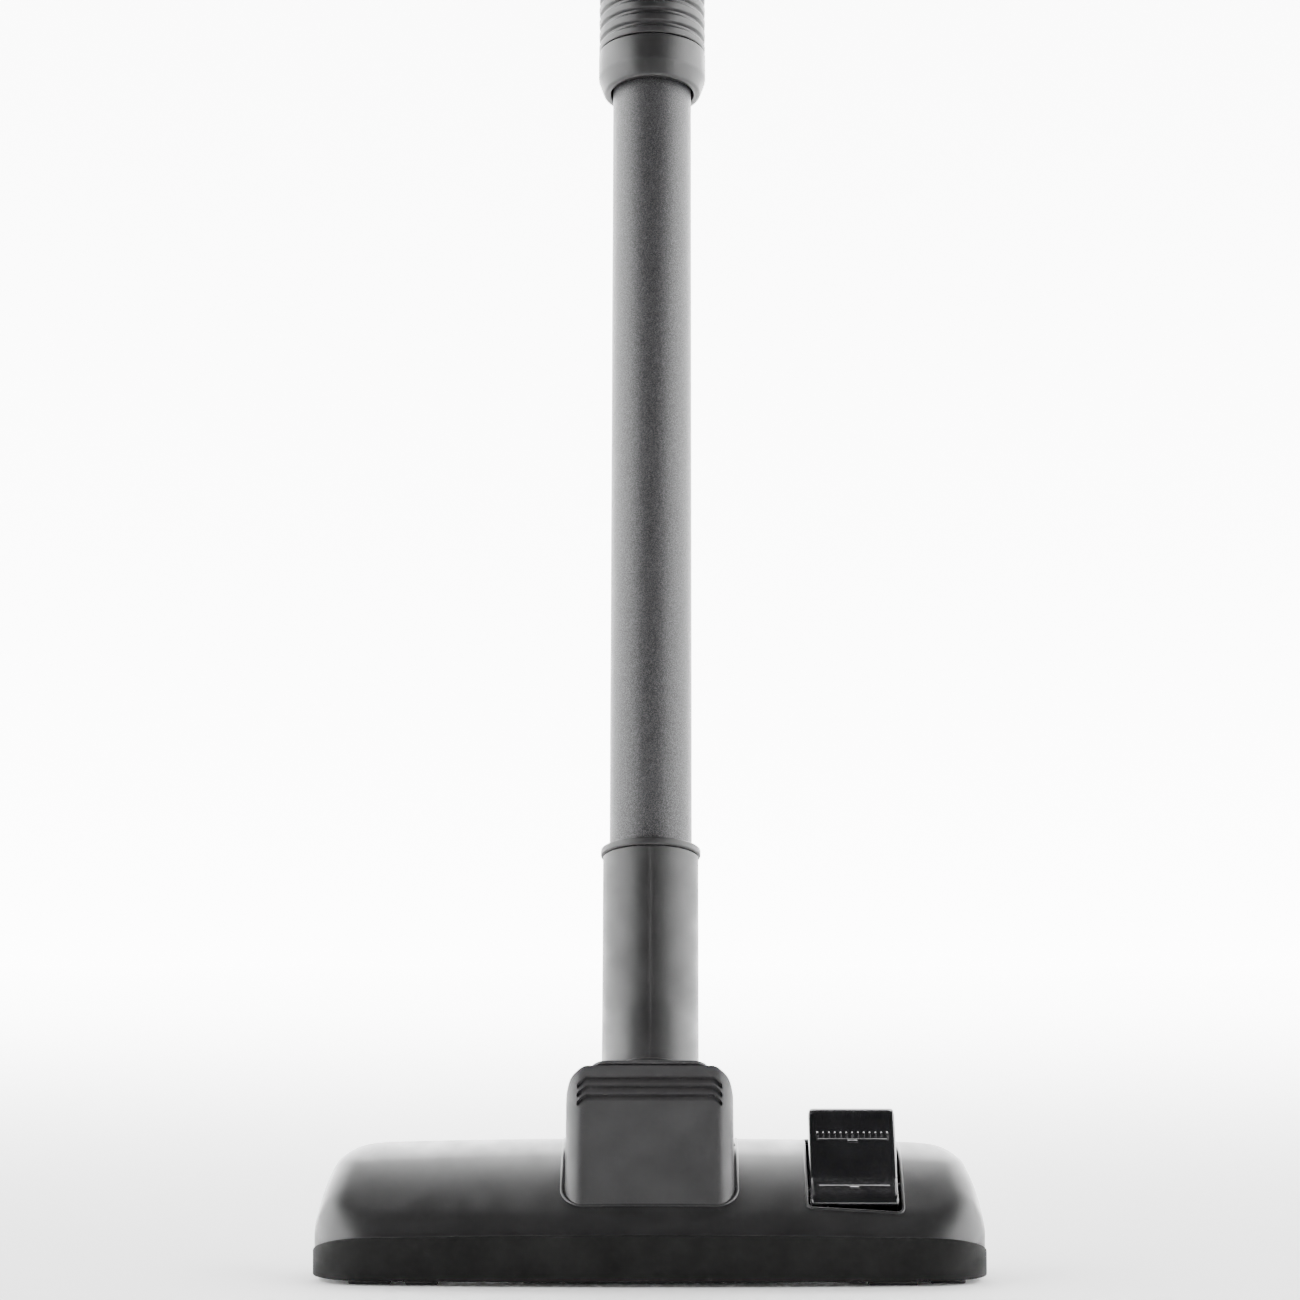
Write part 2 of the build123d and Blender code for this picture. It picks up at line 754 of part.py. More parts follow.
def hub_solid(inset):
    """The tilting hub: a cross drum with a leaning box that carries the neck."""
    half = hub_half_width - inset
    with BuildPart() as hub:
        add(drum(inset, half))
        add(hub_box(inset, half, hub_top_half_width - inset))
    return hub.part


def swivel_ring(inner, outer, low, high):
    return ring(swivel_frame, inner, outer, low, high)


def swivel_studs(radius, low, high):
    """Short rods under the collar plate's four screws."""
    with BuildPart() as studs:
        with BuildSketch(swivel_frame.offset(low)):
            with Locations(*collar_screw_places):
                Circle(radius)
        extrude(amount=high - low)
    return studs.part


def hub_vents():
    """Slots across the front face, level with the top, whose ends hook down round its edges."""
    end, bend, hook = vent_half_width, vent_half_width - vent_hook_width, vent_hook
    with BuildPart() as slots:
        for row in range(vent_count):
            top = -vent_first_drop - row * vent_pitch
            foot = top - vent_height
            with BuildSketch(long_section(swivel_frame).offset(10)):
                with BuildLine():
                    upper = Polyline((-end, top - hook), (-bend, top), (bend, top), (end, top - hook))
                    lower = Polyline((-end, foot - hook), (-bend, foot), (bend, foot), (end, foot - hook))
                    Line(upper @ 0, lower @ 0)
                    Line(upper @ 1, lower @ 1)
                make_face()
            extrude(amount=40)
        add(hub_solid(vent_depth), mode=Mode.SUBTRACT)
    return slots.part


def make_hub_whole():
    bore = neck_radius - neck_wall
    with BuildPart() as whole:
        add(hub_solid(0))
        add(hub_solid(hub_wall), mode=Mode.SUBTRACT)
        add(swivel_ring(bore, 60, -deck_thickness, 0))
        add(swivel_studs(3.4, -12, 0))
        add(hub_solid(0), mode=Mode.INTERSECT)
        flange_room = swivel_ring(0, neck_flange_radius + swivel_clearance, -neck_flange - 0.8, 4)
        add(flange_room, mode=Mode.SUBTRACT)
        add(swivel_ring(0, bore, -14, 4), mode=Mode.SUBTRACT)
        add(swivel_studs(screw_radius, -9, 0), mode=Mode.SUBTRACT)
        # air passage in the underside of the drum
        low = (8 - hub_half_width, hub_y - hub_air_height, 0)
        high = (hub_half_width - 8, hub_y + hub_air_height, hub_z - 10)
        add(block(low, high), mode=Mode.SUBTRACT)
        add(hub_vents(), mode=Mode.SUBTRACT)
        # thrust faces and trunnions
        for side in (-1, 1):
            face = hub_half_width + bay_gap - thrust_gap
            ends = sorted((side * (hub_half_width - 1), side * face))
            add(rod(drum_radius - thrust_setback, hub_y, hub_z, ends[0], ends[1]))
            reach = hub_half_width + bay_gap + bracket_thickness - 0.4
            ends = sorted((side * (hub_half_width - hub_wall), side * reach))
            add(rod(trunnion_radius, hub_y, hub_z, ends[0], ends[1]))
    return whole.part


def split_hub(whole):
    """The drum with the front face, and the cover behind it."""
    cut = Plane(origin=(0, hub_y + 9, hub_z), x_dir=(1, 0, 0), z_dir=-hub_frame.y_dir)
    with BuildPart() as front:
        add(whole)
        split(bisect_by=cut, keep=Keep.TOP)
    with BuildPart() as rear:
        add(whole)
        split(bisect_by=cut, keep=Keep.BOTTOM)
    return front.part, rear.part


def plate_outline(inset, low, high):
    """A layer of the collar plate between two heights, drawn in by inset."""
    half_depth = hub_depth_half - plate_setback - inset
    with BuildPart() as layer:
        with BuildSketch(swivel_frame.offset(low)):
            RectangleRounded(2 * (plate_half_width - inset), 2 * half_depth, plate_corner - inset)
        extrude(amount=high - low)
    return layer.part


def make_collar_plate():
    with BuildPart() as plate:
        add(plate_outline(plate_groove_depth, 0, plate_groove))
        add(plate_outline(0, plate_groove, plate_thickness))
        add(swivel_ring(0, neck_radius + swivel_clearance, -1, 8), mode=Mode.SUBTRACT)
        add(swivel_studs(screw_radius + 0.2, -1, 4), mode=Mode.SUBTRACT)
        add(swivel_studs(screw_head_radius + 0.2, plate_thickness - 1.2, 4), mode=Mode.SUBTRACT)
    return plate.part


def make_collar_screws():
    head_low = plate_thickness - 1.2
    with BuildPart() as screws:
        add(swivel_studs(screw_radius, -8.5, head_low))
        add(swivel_studs(screw_head_radius, head_low, plate_thickness))
        with BuildSketch(swivel_frame.offset(plate_thickness)):
            with Locations(*collar_screw_places):
                Rectangle(3.4, 0.8)
                Rectangle(0.8, 3.4)
        extrude(amount=-0.7, mode=Mode.SUBTRACT)
    return screws.part


# ---------------------------------------------------------------- neck
def elbow(outer_low, outer_high, low, high):
    """A mitred bar: outer_low across the swivel leg, outer_high across the wand leg."""
    with BuildPart() as lower:
        add(ring(swivel_frame, 0, outer_low, low, neck_stem + 40))
        split(bisect_by=mitre_plane, keep=Keep.BOTTOM)
    with BuildPart() as bar:
        add(ring(wand_frame, 0, outer_high, -40, high))
        split(bisect_by=mitre_plane, keep=Keep.TOP)
        add(lower.part)
    return bar.part


def make_neck():
    under = -0.3
    with BuildPart() as whole:
        add(elbow(neck_radius, neck_radius, under - neck_flange, neck_mouth))
        add(swivel_ring(0, neck_flange_radius, under - neck_flange, under))
        bore = neck_radius - neck_wall
        add(elbow(bore, bore - 1.6, under - neck_flange - 1, neck_mouth + 1), mode=Mode.SUBTRACT)
        add(ring(wand_frame, 0, tube_radius + tube_socket_clearance, tube_foot, 90), mode=Mode.SUBTRACT)
        low, high = neck_mouth - neck_ring_length, neck_mouth + 1
        add(ring(wand_frame, neck_radius - 1.1, neck_radius + 2, low, high), mode=Mode.SUBTRACT)
        low, high = neck_mouth - 13, neck_mouth - 10
        add(ring(wand_frame, 0, tube_radius + 1.4, low, high), mode=Mode.SUBTRACT)
    with BuildPart() as left:
        add(whole.part)
        split(bisect_by=Plane.YZ, keep=Keep.BOTTOM)
    with BuildPart() as right:
        add(whole.part)
        split(bisect_by=Plane.YZ, keep=Keep.TOP)
    return left.part, right.part


# ---------------------------------------------------------------- wand
def make_outer_tube():
    inner = tube_radius - tube_wall
    window = wand_frame.offset(key_place - 3.2)
    with BuildPart() as tube:
        add(ring(wand_frame, inner, tube_radius, tube_foot + 0.3, tube_top))
        with BuildSketch(window):
            with Locations((0, tube_radius)):
                Rectangle(8.4, 8)
        extrude(amount=6.4, mode=Mode.SUBTRACT)
    return tube.part


def make_sleeve_collar():
    r, low, high = sleeve_radius, sleeve_bottom, collar_top
    lip = tube_radius + 0.9
    profile = [
        (lip, low + 0.5),
        (lip + 1.2, low),
        (r - 2.4, low + 1.5),
        (r - 0.8, low + 4.0),
        (r, low + 8.5),
        (r, high - 0.4),
        (r - 0.4, high),
        (tube_radius, high),
        (tube_radius, high - 9),
        (tube_radius + 3.4, high - 9),
        (tube_radius + 3.4, low + 4),
        (lip, low + 4),
    ]
    return turned(wand_frame, profile)


slider_bore = tube_radius + 0.3
slider_room = sleeve_radius - rib_depth - 1.9


def make_lock_slider():
    outline = [(slider_bore, slider_bottom)]
    for rib in range(rib_count):
        foot = slider_bottom + rib * rib_pitch
        outline += [
            (sleeve_radius - 0.5, foot),
            (sleeve_radius, foot + 0.6),
            (sleeve_radius, foot + rib_pitch - 2.9),
            (sleeve_radius - rib_depth, foot + rib_pitch - 1.9),
            (sleeve_radius - rib_depth, foot + rib_pitch - 0.9),
        ]
    skirt = sleeve_radius - 2.9
    outline += [
        (sleeve_radius - 0.5, rib_top),
        (skirt, rib_top),
        (skirt, slider_top),
        (skirt - 1.6, slider_top),
        (skirt - 1.6, rib_top - 1),
        (slider_room, rib_top - 2),
        (slider_room, slider_bottom + 3),
        (slider_bore, slider_bottom + 3),
    ]
    return turned(wand_frame, outline)


def make_sleeve_cap():
    r, bore = sleeve_radius, inner_radius + 0.6
    room = sleeve_radius - 2.4
    profile = [
        (room, cap_bottom),
        (r - 0.5, cap_bottom),
        (r, cap_bottom + 0.5),
        (r, cap_top - 2.5),
        (r - 2.5, cap_top),
        (bore, cap_top),
        (bore, tube_top),
        (tube_radius, tube_top),
        (tube_radius, cap_shoulder),
        (room, cap_shoulder),
    ]
    return turned(wand_frame, profile)


def make_inner_tube():
    foot, top = inner_foot, socket_bottom + 14
    with BuildPart() as tube:
        add(ring(wand_frame, inner_radius - inner_wall, inner_radius, foot, top))
        for notch in range(notch_count):
            with BuildSketch(wand_frame.offset(key_place - 2.6 - notch * notch_pitch)):
                with Locations((0, inner_radius)):
                    Rectangle(7, 3)
            extrude(amount=5.2, mode=Mode.SUBTRACT)
    return tube.part


def make_lock_key():
    with BuildPart() as key:
        with BuildSketch(wand_frame.offset(key_place - 2.2)):
            with Locations((0, (inner_radius + 0.3 + slider_room - 1.6) / 2)):
                Rectangle(6, slider_room - 1.6 - inner_radius - 0.3)
        extrude(amount=4.4)
    return key.part


def make_handle_socket():
    bore, top = handle_bore, socket_top
    shoulder = socket_bottom + 14
    profile = [
        (inner_radius, socket_bottom),
        (socket_radius - 0.6, socket_bottom),
        (socket_radius, socket_bottom + 0.6),
        (socket_radius, top - 4.0),
        (socket_radius + 1.2, top - 3.6),
        (socket_radius + 1.2, top - 0.5),
        (socket_radius + 0.7, top),
        (bore + 0.6, top),
        (bore, top - 0.6),
        (bore, top - handle_bore_depth + socket_seal_height),
        (bore + socket_seal_seat, top - handle_bore_depth + socket_seal_height),
        (bore + socket_seal_seat, top - handle_bore_depth),
        (inner_radius - inner_wall, top - handle_bore_depth),
        (inner_radius - inner_wall, shoulder),
        (inner_radius, shoulder),
    ]
    return turned(wand_frame, profile)


def build_all():
    save(make_top_shell(), "top_shell")
    save(make_bumper(), "bumper")
    with BuildPart() as tray:
        add(make_base_tray())
        add(cap_screw_holes(), mode=Mode.SUBTRACT)
    save(tray.part, "base_tray")
    save(make_sole_plate(), "sole_plate")
    sole_low = base_floor_z - sole_thickness
    save(strips(lint_places, sole_low - lint_height, sole_low), "lint_pickers")
    save(strips(glide_places, 0, sole_low), "glide_pads")
    with BuildPart() as caps:
        add(make_bearing_caps())
        add(cap_screw_holes(), mode=Mode.SUBTRACT)
    save(caps.part, "bearing_caps")
    save(make_cap_screws(), "cap_screws")
    head_low = base_floor_z - 1.5
    screws = upright_screws(screw_places, screw_radius, screw_head_radius, head_low, screw_length - 1)
    save(screws, "housing_screws")
    front, rear = make_wipers()
    save(front, "front_wiper")
    save(rear, "rear_wiper")
    for side, name in ((-1, "left"), (1, "right")):
        save(make_wheel(side), "wheel_" + name)
        save(wheel_ring(side, wheel_radius - tyre_thickness, wheel_radius, wheel_half_width), "tyre_" + name)
        save(make_axle(side), "axle_" + name)
    reach = pedal_half_width + 3.0
    save(rod(pedal_pin_radius, pedal_pivot_y, pedal_pivot_z, pedal_x - reach, pedal_x + reach), "pedal_pin")
    save(make_pedal(), "pedal")
    save(make_brush_frame(), "brush_frame")
    front, rear = make_bristles()
    save(front, "front_bristles")
    save(rear, "rear_bristles")
    front, rear = split_hub(make_hub_whole())
    save(front, "hub_body")
    save(rear, "hub_cover")
    save(make_collar_plate(), "collar_plate")
    save(make_collar_screws(), "collar_screws")
    bore = neck_radius + swivel_clearance
    seal = swivel_ring(bore, seal_radius, plate_thickness, plate_thickness + seal_height)
    save(seal, "swivel_seal")
    left, right = make_neck()
    save(left, "neck_left")
    save(right, "neck_right")
    low = neck_mouth - neck_ring_length
    neck_ring = turned(
        wand_frame,
        [
            (neck_radius - 1.1, low),
            (neck_ring_radius - 0.5, low),
            (neck_ring_radius, low + 0.8),
            (neck_ring_radius, neck_mouth - 0.8),
            (neck_ring_radius - 0.5, neck_mouth),
            (neck_radius - 1.1, neck_mouth),
        ],
    )
    save(neck_ring, "neck_ring")
    low = neck_mouth - 13
    save(ring(wand_frame, tube_radius + 0.05, tube_radius + 1.4, low, low + 3), "neck_seal")
    save(make_outer_tube(), "outer_tube")
    save(make_sleeve_collar(), "sleeve_collar")
    save(make_lock_slider(), "lock_slider")
    save(make_lock_key(), "lock_key")
    save(make_sleeve_cap(), "sleeve_cap")
    inside = tube_radius - tube_wall
    bush = ring(wand_frame, inner_radius + slide_clearance, inside, tube_top - bush_length, tube_top)
    save(bush, "guide_bush")
    save(make_inner_tube(), "inner_tube")
    low, high = inner_foot, inner_foot + slide_ring_length
    save(ring(wand_frame, inner_radius, inside - slide_clearance, low, high), "slide_ring")
    save(make_handle_socket(), "handle_socket")
    low = socket_top - handle_bore_depth
    outer = handle_bore + socket_seal_seat
    seal = ring(wand_frame, inner_radius - inner_wall, outer, low, low + socket_seal_height)
    save(seal, "socket_seal")


if __name__ == "__main__":
    build_all()
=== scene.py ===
import json
import math

import bmesh
import bpy
import numpy as np
from mathutils import Matrix, Vector


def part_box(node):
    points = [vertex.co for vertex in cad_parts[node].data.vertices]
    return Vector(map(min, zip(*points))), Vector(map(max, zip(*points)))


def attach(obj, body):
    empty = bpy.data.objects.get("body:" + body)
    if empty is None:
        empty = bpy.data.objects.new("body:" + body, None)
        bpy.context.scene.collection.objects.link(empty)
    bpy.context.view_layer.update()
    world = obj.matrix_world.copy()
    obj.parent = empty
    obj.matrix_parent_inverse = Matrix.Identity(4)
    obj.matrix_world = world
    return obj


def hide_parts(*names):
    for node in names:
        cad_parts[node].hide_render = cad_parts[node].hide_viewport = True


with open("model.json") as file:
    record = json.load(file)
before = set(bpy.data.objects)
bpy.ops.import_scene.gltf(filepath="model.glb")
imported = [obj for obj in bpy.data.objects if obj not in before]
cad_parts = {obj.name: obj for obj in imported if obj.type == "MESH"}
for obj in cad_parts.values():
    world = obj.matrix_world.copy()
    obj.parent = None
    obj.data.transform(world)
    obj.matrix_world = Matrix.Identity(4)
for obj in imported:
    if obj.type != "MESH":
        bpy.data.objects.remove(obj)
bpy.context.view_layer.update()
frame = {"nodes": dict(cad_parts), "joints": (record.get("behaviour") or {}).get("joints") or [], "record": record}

MM = 0.001
joints = {joint["name"]: joint for joint in frame["joints"]}


def linked(name, data):
    """A new object in the scene."""
    obj = bpy.data.objects.new(name, data)
    bpy.context.scene.collection.objects.link(obj)
    return obj


def new_material(name, base, roughness, metallic=0.0):
    """An empty Principled material and its tree."""
    material = bpy.data.materials.new(name)
    material.use_nodes = True
    tree = material.node_tree
    shader = tree.nodes["Principled BSDF"]
    shader.inputs["Base Color"].default_value = (*base, 1)
    shader.inputs["Roughness"].default_value = roughness
    shader.inputs["Metallic"].default_value = metallic
    material.diffuse_color = (*base, 1)
    return material, tree, shader


def noise(tree, scale, detail=3.0, stretch=(1, 1, 1)):
    """Noise on the piece's own coordinates, in features per metre."""
    place = tree.nodes.new("ShaderNodeTexCoord")
    mapping = tree.nodes.new("ShaderNodeMapping")
    mapping.inputs["Scale"].default_value = stretch
    texture = tree.nodes.new("ShaderNodeTexNoise")
    texture.inputs["Scale"].default_value = scale
    texture.inputs["Detail"].default_value = detail
    tree.links.new(place.outputs["Object"], mapping.inputs["Vector"])
    tree.links.new(mapping.outputs["Vector"], texture.inputs["Vector"])
    return texture.outputs["Fac"]


def spread(tree, factor, low, high, start=0.3, end=0.7):
    """Maps a factor onto the range low to high."""
    node = tree.nodes.new("ShaderNodeMapRange")
    node.inputs["From Min"].default_value = start
    node.inputs["From Max"].default_value = end
    node.inputs["To Min"].default_value = low
    node.inputs["To Max"].default_value = high
    tree.links.new(factor, node.inputs["Value"])
    return node.outputs["Result"]


def tint(tree, shader, factor, dark, light, start=0.3, end=0.7):
    """Colours the surface between two tones by a factor."""
    ramp = tree.nodes.new("ShaderNodeValToRGB")
    ramp.color_ramp.elements[0].position = start
    ramp.color_ramp.elements[1].position = end
    ramp.color_ramp.elements[0].color = (*dark, 1)
    ramp.color_ramp.elements[1].color = (*light, 1)
    tree.links.new(factor, ramp.inputs["Fac"])
    tree.links.new(ramp.outputs["Color"], shader.inputs["Base Color"])


def grain(tree, shader, factor, depth, strength=1.0, under=None):
    """Raises the surface by a factor, depth in metres, over an earlier bump if one is given."""
    bump = tree.nodes.new("ShaderNodeBump")
    bump.inputs["Strength"].default_value = strength
    bump.inputs["Distance"].default_value = depth
    tree.links.new(factor, bump.inputs["Height"])
    if under:
        tree.links.new(under, bump.inputs["Normal"])
    tree.links.new(bump.outputs["Normal"], shader.inputs["Normal"])
    return bump.outputs["Normal"]


def moulded_plastic(name, base, roughness, texture_per_metre, depth, variation=0.25):
    """Injection-moulded plastic: fine spark texture, slow tone drift, handling scuffs."""
    material, tree, shader = new_material(name, base, roughness)
    light = tuple(min(1, c * (1 + variation)) for c in base)
    dark = tuple(c * (1 - variation) for c in base)
    tint(tree, shader, noise(tree, 38, 5), dark, light)
    scuff = noise(tree, 90, 6, (1, 0.35, 1))
    tree.links.new(spread(tree, scuff, roughness * 0.85, roughness * 1.2), shader.inputs["Roughness"])
    grain(tree, shader, noise(tree, texture_per_metre, 2), depth)
    return material


def finish_mesh(obj, sharp_degrees=35):
    """Smooth shading except across real corners."""
    obj.data.shade_smooth()
    obj.data.set_sharp_from_angle(angle=math.radians(sharp_degrees))


def add_piece(name, mesh, body, material, nodes=(), sharp_degrees=35):
    """Links a finished mesh as a piece that rides a body and stands for some CAD nodes."""
    obj = linked(name, mesh)
    mesh.materials.clear()
    mesh.materials.append(material)
    finish_mesh(obj, sharp_degrees)
    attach(obj, body)
    if nodes:
        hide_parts(*nodes)
    return obj


def baked(obj):
    """The object's mesh with its modifiers applied; the object itself is dropped."""
    graph = bpy.context.evaluated_depsgraph_get()
    mesh = bpy.data.meshes.new_from_object(obj.evaluated_get(graph))
    bpy.data.objects.remove(obj)
    return mesh


def edged(mesh, width, segments=2, degrees=50):
    """The mesh with its sharp edges rounded."""
    obj = linked("edge", mesh)
    bevel = obj.modifiers.new("edge", "BEVEL")
    bevel.width = width
    bevel.segments = segments
    bevel.limit_method = "ANGLE"
    bevel.angle_limit = math.radians(degrees)
    return baked(obj)


def softened(name, width, body, material, segments=2):
    """A CAD node's own shape with its corners rounded by width, as a mould or a deburring leaves them."""
    mesh = frame["nodes"][name].data.copy()
    cage = bmesh.new()
    cage.from_mesh(mesh)
    bmesh.ops.remove_doubles(cage, verts=cage.verts, dist=2e-6)
    bmesh.ops.dissolve_limit(cage, angle_limit=math.radians(0.4), verts=cage.verts, edges=cage.edges)
    cage.to_mesh(mesh)
    cage.free()
    return add_piece(name + "_piece", edged(mesh, width, segments, 38), body, material, [name])


base_finish = moulded_plastic("base_tray_black", (0.022, 0.022, 0.023), 0.55, 1800, 0.00006)
softened("base_tray", 0.4 * MM, "floor_head", base_finish)
softened("bearing_caps", 0.4 * MM, "floor_head", base_finish)

# Sole plate: stamped stainless steel, brushed along its length, screwed under the base tray.
# Two felt lint strips are glued to it, and four acetal glide pads carry the nose.
steel_finish, tree, shader = new_material("brushed_sole_steel", (0.52, 0.52, 0.53), 0.3, 1.0)
brushing = noise(tree, 900, 3, (0.02, 1, 1))
tint(tree, shader, brushing, (0.44, 0.44, 0.45), (0.6, 0.6, 0.61))
tree.links.new(spread(tree, brushing, 0.22, 0.42), shader.inputs["Roughness"])
grain(tree, shader, brushing, 0.00002)
softened("sole_plate", 0.3 * MM, "floor_head", steel_finish)

felt_finish, tree, shader = new_material("lint_strip_felt", (0.30, 0.025, 0.025), 0.95)
shader.inputs["Sheen Weight"].default_value = 0.6
shader.inputs["Sheen Roughness"].default_value = 0.5
pile = noise(tree, 5200, 2, (1, 0.4, 1))
tint(tree, shader, pile, (0.2, 0.012, 0.012), (0.4, 0.05, 0.045))
grain(tree, shader, pile, 0.0003)
softened("lint_pickers", 0.3 * MM, "floor_head", felt_finish)

pad_finish = moulded_plastic("glide_pad_acetal", (0.03, 0.03, 0.03), 0.4, 1500, 0.00003)
softened("glide_pads", 0.5 * MM, "floor_head", pad_finish, 3)

# Screws and pins: zinc-plated steel, turned and rolled, with a cross or a slot in the head.
# The axles and the pedal's pin are the same bright rod cut to length.
screw_finish, tree, shader = new_material("zinc_plated_steel", (0.35, 0.35, 0.36), 0.35, 1.0)
tint(tree, shader, noise(tree, 700, 4), (0.26, 0.26, 0.27), (0.45, 0.45, 0.46))
tree.links.new(spread(tree, noise(tree, 1500, 3), 0.28, 0.45), shader.inputs["Roughness"])
for node, body in (("cap_screws", "floor_head"), ("housing_screws", "floor_head"),
                   ("axle_left", "floor_head"), ("axle_right", "floor_head"),
                   ("pedal_pin", "floor_head"), ("collar_screws", "hub")):
    softened(node, 0.15 * MM, body, screw_finish)

# Wipers: two rubber lips glued to the base tray that seal the turning drum.
# They are extruded strips cut to the drum's width.
wiper_finish = moulded_plastic("wiper_rubber", (0.015, 0.015, 0.015), 0.75, 900, 0.00005)
softened("front_wiper", 0.3 * MM, "floor_head", wiper_finish)
softened("rear_wiper", 0.3 * MM, "floor_head", wiper_finish)

# Rear wheels: a dished plastic rim with a soft rubber tyre moulded round it.
# The tyre is turned with rounded shoulders and fine grooves round its tread.


def rounded(points, radii, steps=5):
    """A closed (radius, height) outline with its corners turned into arcs."""
    count = len(points)
    if not hasattr(radii, "__len__"):
        radii = [radii] * count
    outline = []
    for i, corner in enumerate(points):
        here = np.array(corner, float)
        back = np.array(points[i - 1], float) - here
        ahead = np.array(points[(i + 1) % count], float) - here
        reach_back, reach_ahead = np.linalg.norm(back), np.linalg.norm(ahead)
        back, ahead = back / reach_back, ahead / reach_ahead
        turn = math.acos(max(-1, min(1, float(back @ ahead))))
        if radii[i] <= 0 or turn > math.pi - 0.02:
            outline.append(here)
            continue
        cut = min(radii[i] / math.tan(turn / 2), 0.48 * reach_back, 0.48 * reach_ahead)
        radius = cut * math.tan(turn / 2)
        middle = here + (back + ahead) / np.linalg.norm(back + ahead) * radius / math.sin(turn / 2)
        start, end = here + back * cut - middle, here + ahead * cut - middle
        sweep = math.atan2(start[0] * end[1] - start[1] * end[0], float(start @ end))
        for step in range(steps + 1):
            a = sweep * step / steps
            spun = (start[0] * math.cos(a) - start[1] * math.sin(a),
                    start[0] * math.sin(a) + start[1] * math.cos(a))
            outline.append(middle + spun)
    return np.array(outline)


def outward(mesh, weld=1e-7):
    """Welds coincident points on a closed mesh and turns its faces outwards."""
    cage = bmesh.new()
    cage.from_mesh(mesh)
    bmesh.ops.remove_doubles(cage, verts=cage.verts, dist=weld)
    bmesh.ops.recalc_face_normals(cage, faces=cage.faces)
    cage.to_mesh(mesh)
    cage.free()
    return mesh


def turned(name, outline, foot, axis, side, segments=128):
    """A mesh spun from a closed outline round an axis that starts at foot."""
    foot, axis, side = (np.array(v, float) for v in (foot, axis, side))
    across = np.cross(axis, side)
    angles = np.arange(segments) * 2 * math.pi / segments
    ring = np.cos(angles)[:, None] * side + np.sin(angles)[:, None] * across
    points = (foot + outline[None, :, 1, None] * axis + outline[None, :, 0, None] * ring[:, None, :])
    count = len(outline)
    faces = []
    for i in range(segments):
        j = (i + 1) % segments
        for k in range(count):
            m = (k + 1) % count
            faces.append((i * count + k, j * count + k, j * count + m, i * count + m))
    mesh = bpy.data.meshes.new(name)
    mesh.from_pydata(points.reshape(-1, 3).tolist(), [], faces)
    return outward(mesh)


wheel_finish = moulded_plastic("wheel_rim_plastic", (0.03, 0.03, 0.031), 0.45, 1500, 0.00004)
tyre_finish = moulded_plastic("tyre_rubber_black", (0.018, 0.018, 0.018), 0.8, 1300, 0.00008)
tread_grooves = 3
for side in ("left", "right"):
    softened("wheel_" + side, 0.35 * MM, side + "_wheel", wheel_finish, 3)
    low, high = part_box("tyre_" + side)
    hub_centre = joints[side + "_wheel_spin"]["pos_m"]
    half = (high.x - low.x) / 2
    tread = (high.z - low.z) / 2
    inner = tread - 2.2 * MM
    profile = [(inner, -half), (tread - 0.1 * MM, -half)]
    corner_radii = [0, 1.2 * MM]
    for groove in range(tread_grooves):
        place = (groove - (tread_grooves - 1) / 2) * 3.2 * MM
        profile += [(tread, place - 0.4 * MM), (tread - 0.5 * MM, place - 0.3 * MM),
                    (tread - 0.5 * MM, place + 0.3 * MM), (tread, place + 0.4 * MM)]
        corner_radii += [0.15 * MM, 0, 0, 0.15 * MM]
    profile += [(tread - 0.1 * MM, half), (inner, half)]
    corner_radii += [1.2 * MM, 0]
    mesh = turned("tyre_" + side, rounded(profile, corner_radii), hub_centre, (1, 0, 0), (0, 0, 1))
    add_piece("tyre_" + side + "_piece", mesh, side + "_wheel", tyre_finish, ["tyre_" + side])

# Brushes: one moulded frame that drops through the sole, with rows of nylon tufts in it.
# Each tuft is a bundle of splayed filaments stapled into the frame.
softened("brush_frame", 0.4 * MM, "brushes", base_finish)

bristle_finish, tree, shader = new_material("bristle_nylon", (0.02, 0.02, 0.021), 0.45)
tint(tree, shader, noise(tree, 300, 3), (0.012, 0.012, 0.013), (0.05, 0.05, 0.052))


def growth_tree(name, inputs):
    """A geometry-nodes tree with named inputs, and the node that gives their values."""
    group = bpy.data.node_groups.new(name, "GeometryNodeTree")
    group.interface.new_socket("Geometry", in_out="OUTPUT", socket_type="NodeSocketGeometry")
    for label, kind in inputs:
        group.interface.new_socket(label, in_out="INPUT", socket_type="NodeSocket" + kind)
    return group, group.nodes.new("NodeGroupInput")


def copied_to_points(group, points, copy, turn, material):
    """Ends a tree: a copy on each point, made real and given its material."""
    nodes, links = group.nodes, group.links
    place = nodes.new("GeometryNodeInstanceOnPoints")
    links.new(points, place.inputs["Points"])
    links.new(copy, place.inputs["Instance"])
    if turn:
        links.new(turn, place.inputs["Rotation"])
    real = nodes.new("GeometryNodeRealizeInstances")
    paint = nodes.new("GeometryNodeSetMaterial")
    paint.inputs["Material"].default_value = material
    result = nodes.new("NodeGroupOutput")
    links.new(place.outputs["Instances"], real.inputs["Geometry"])
    links.new(real.outputs["Geometry"], paint.inputs["Geometry"])
    links.new(paint.outputs["Geometry"], result.inputs["Geometry"])
    return group


def scatter(nodes, low, high, seed):
    """A fixed random vector for each point, between two corners."""
    node = nodes.new("FunctionNodeRandomValue")
    node.data_type = "FLOAT_VECTOR"
    node.inputs["Min"].default_value = low
    node.inputs["Max"].default_value = high
    node.inputs["Seed"].default_value = seed
    return node.outputs["Value"]


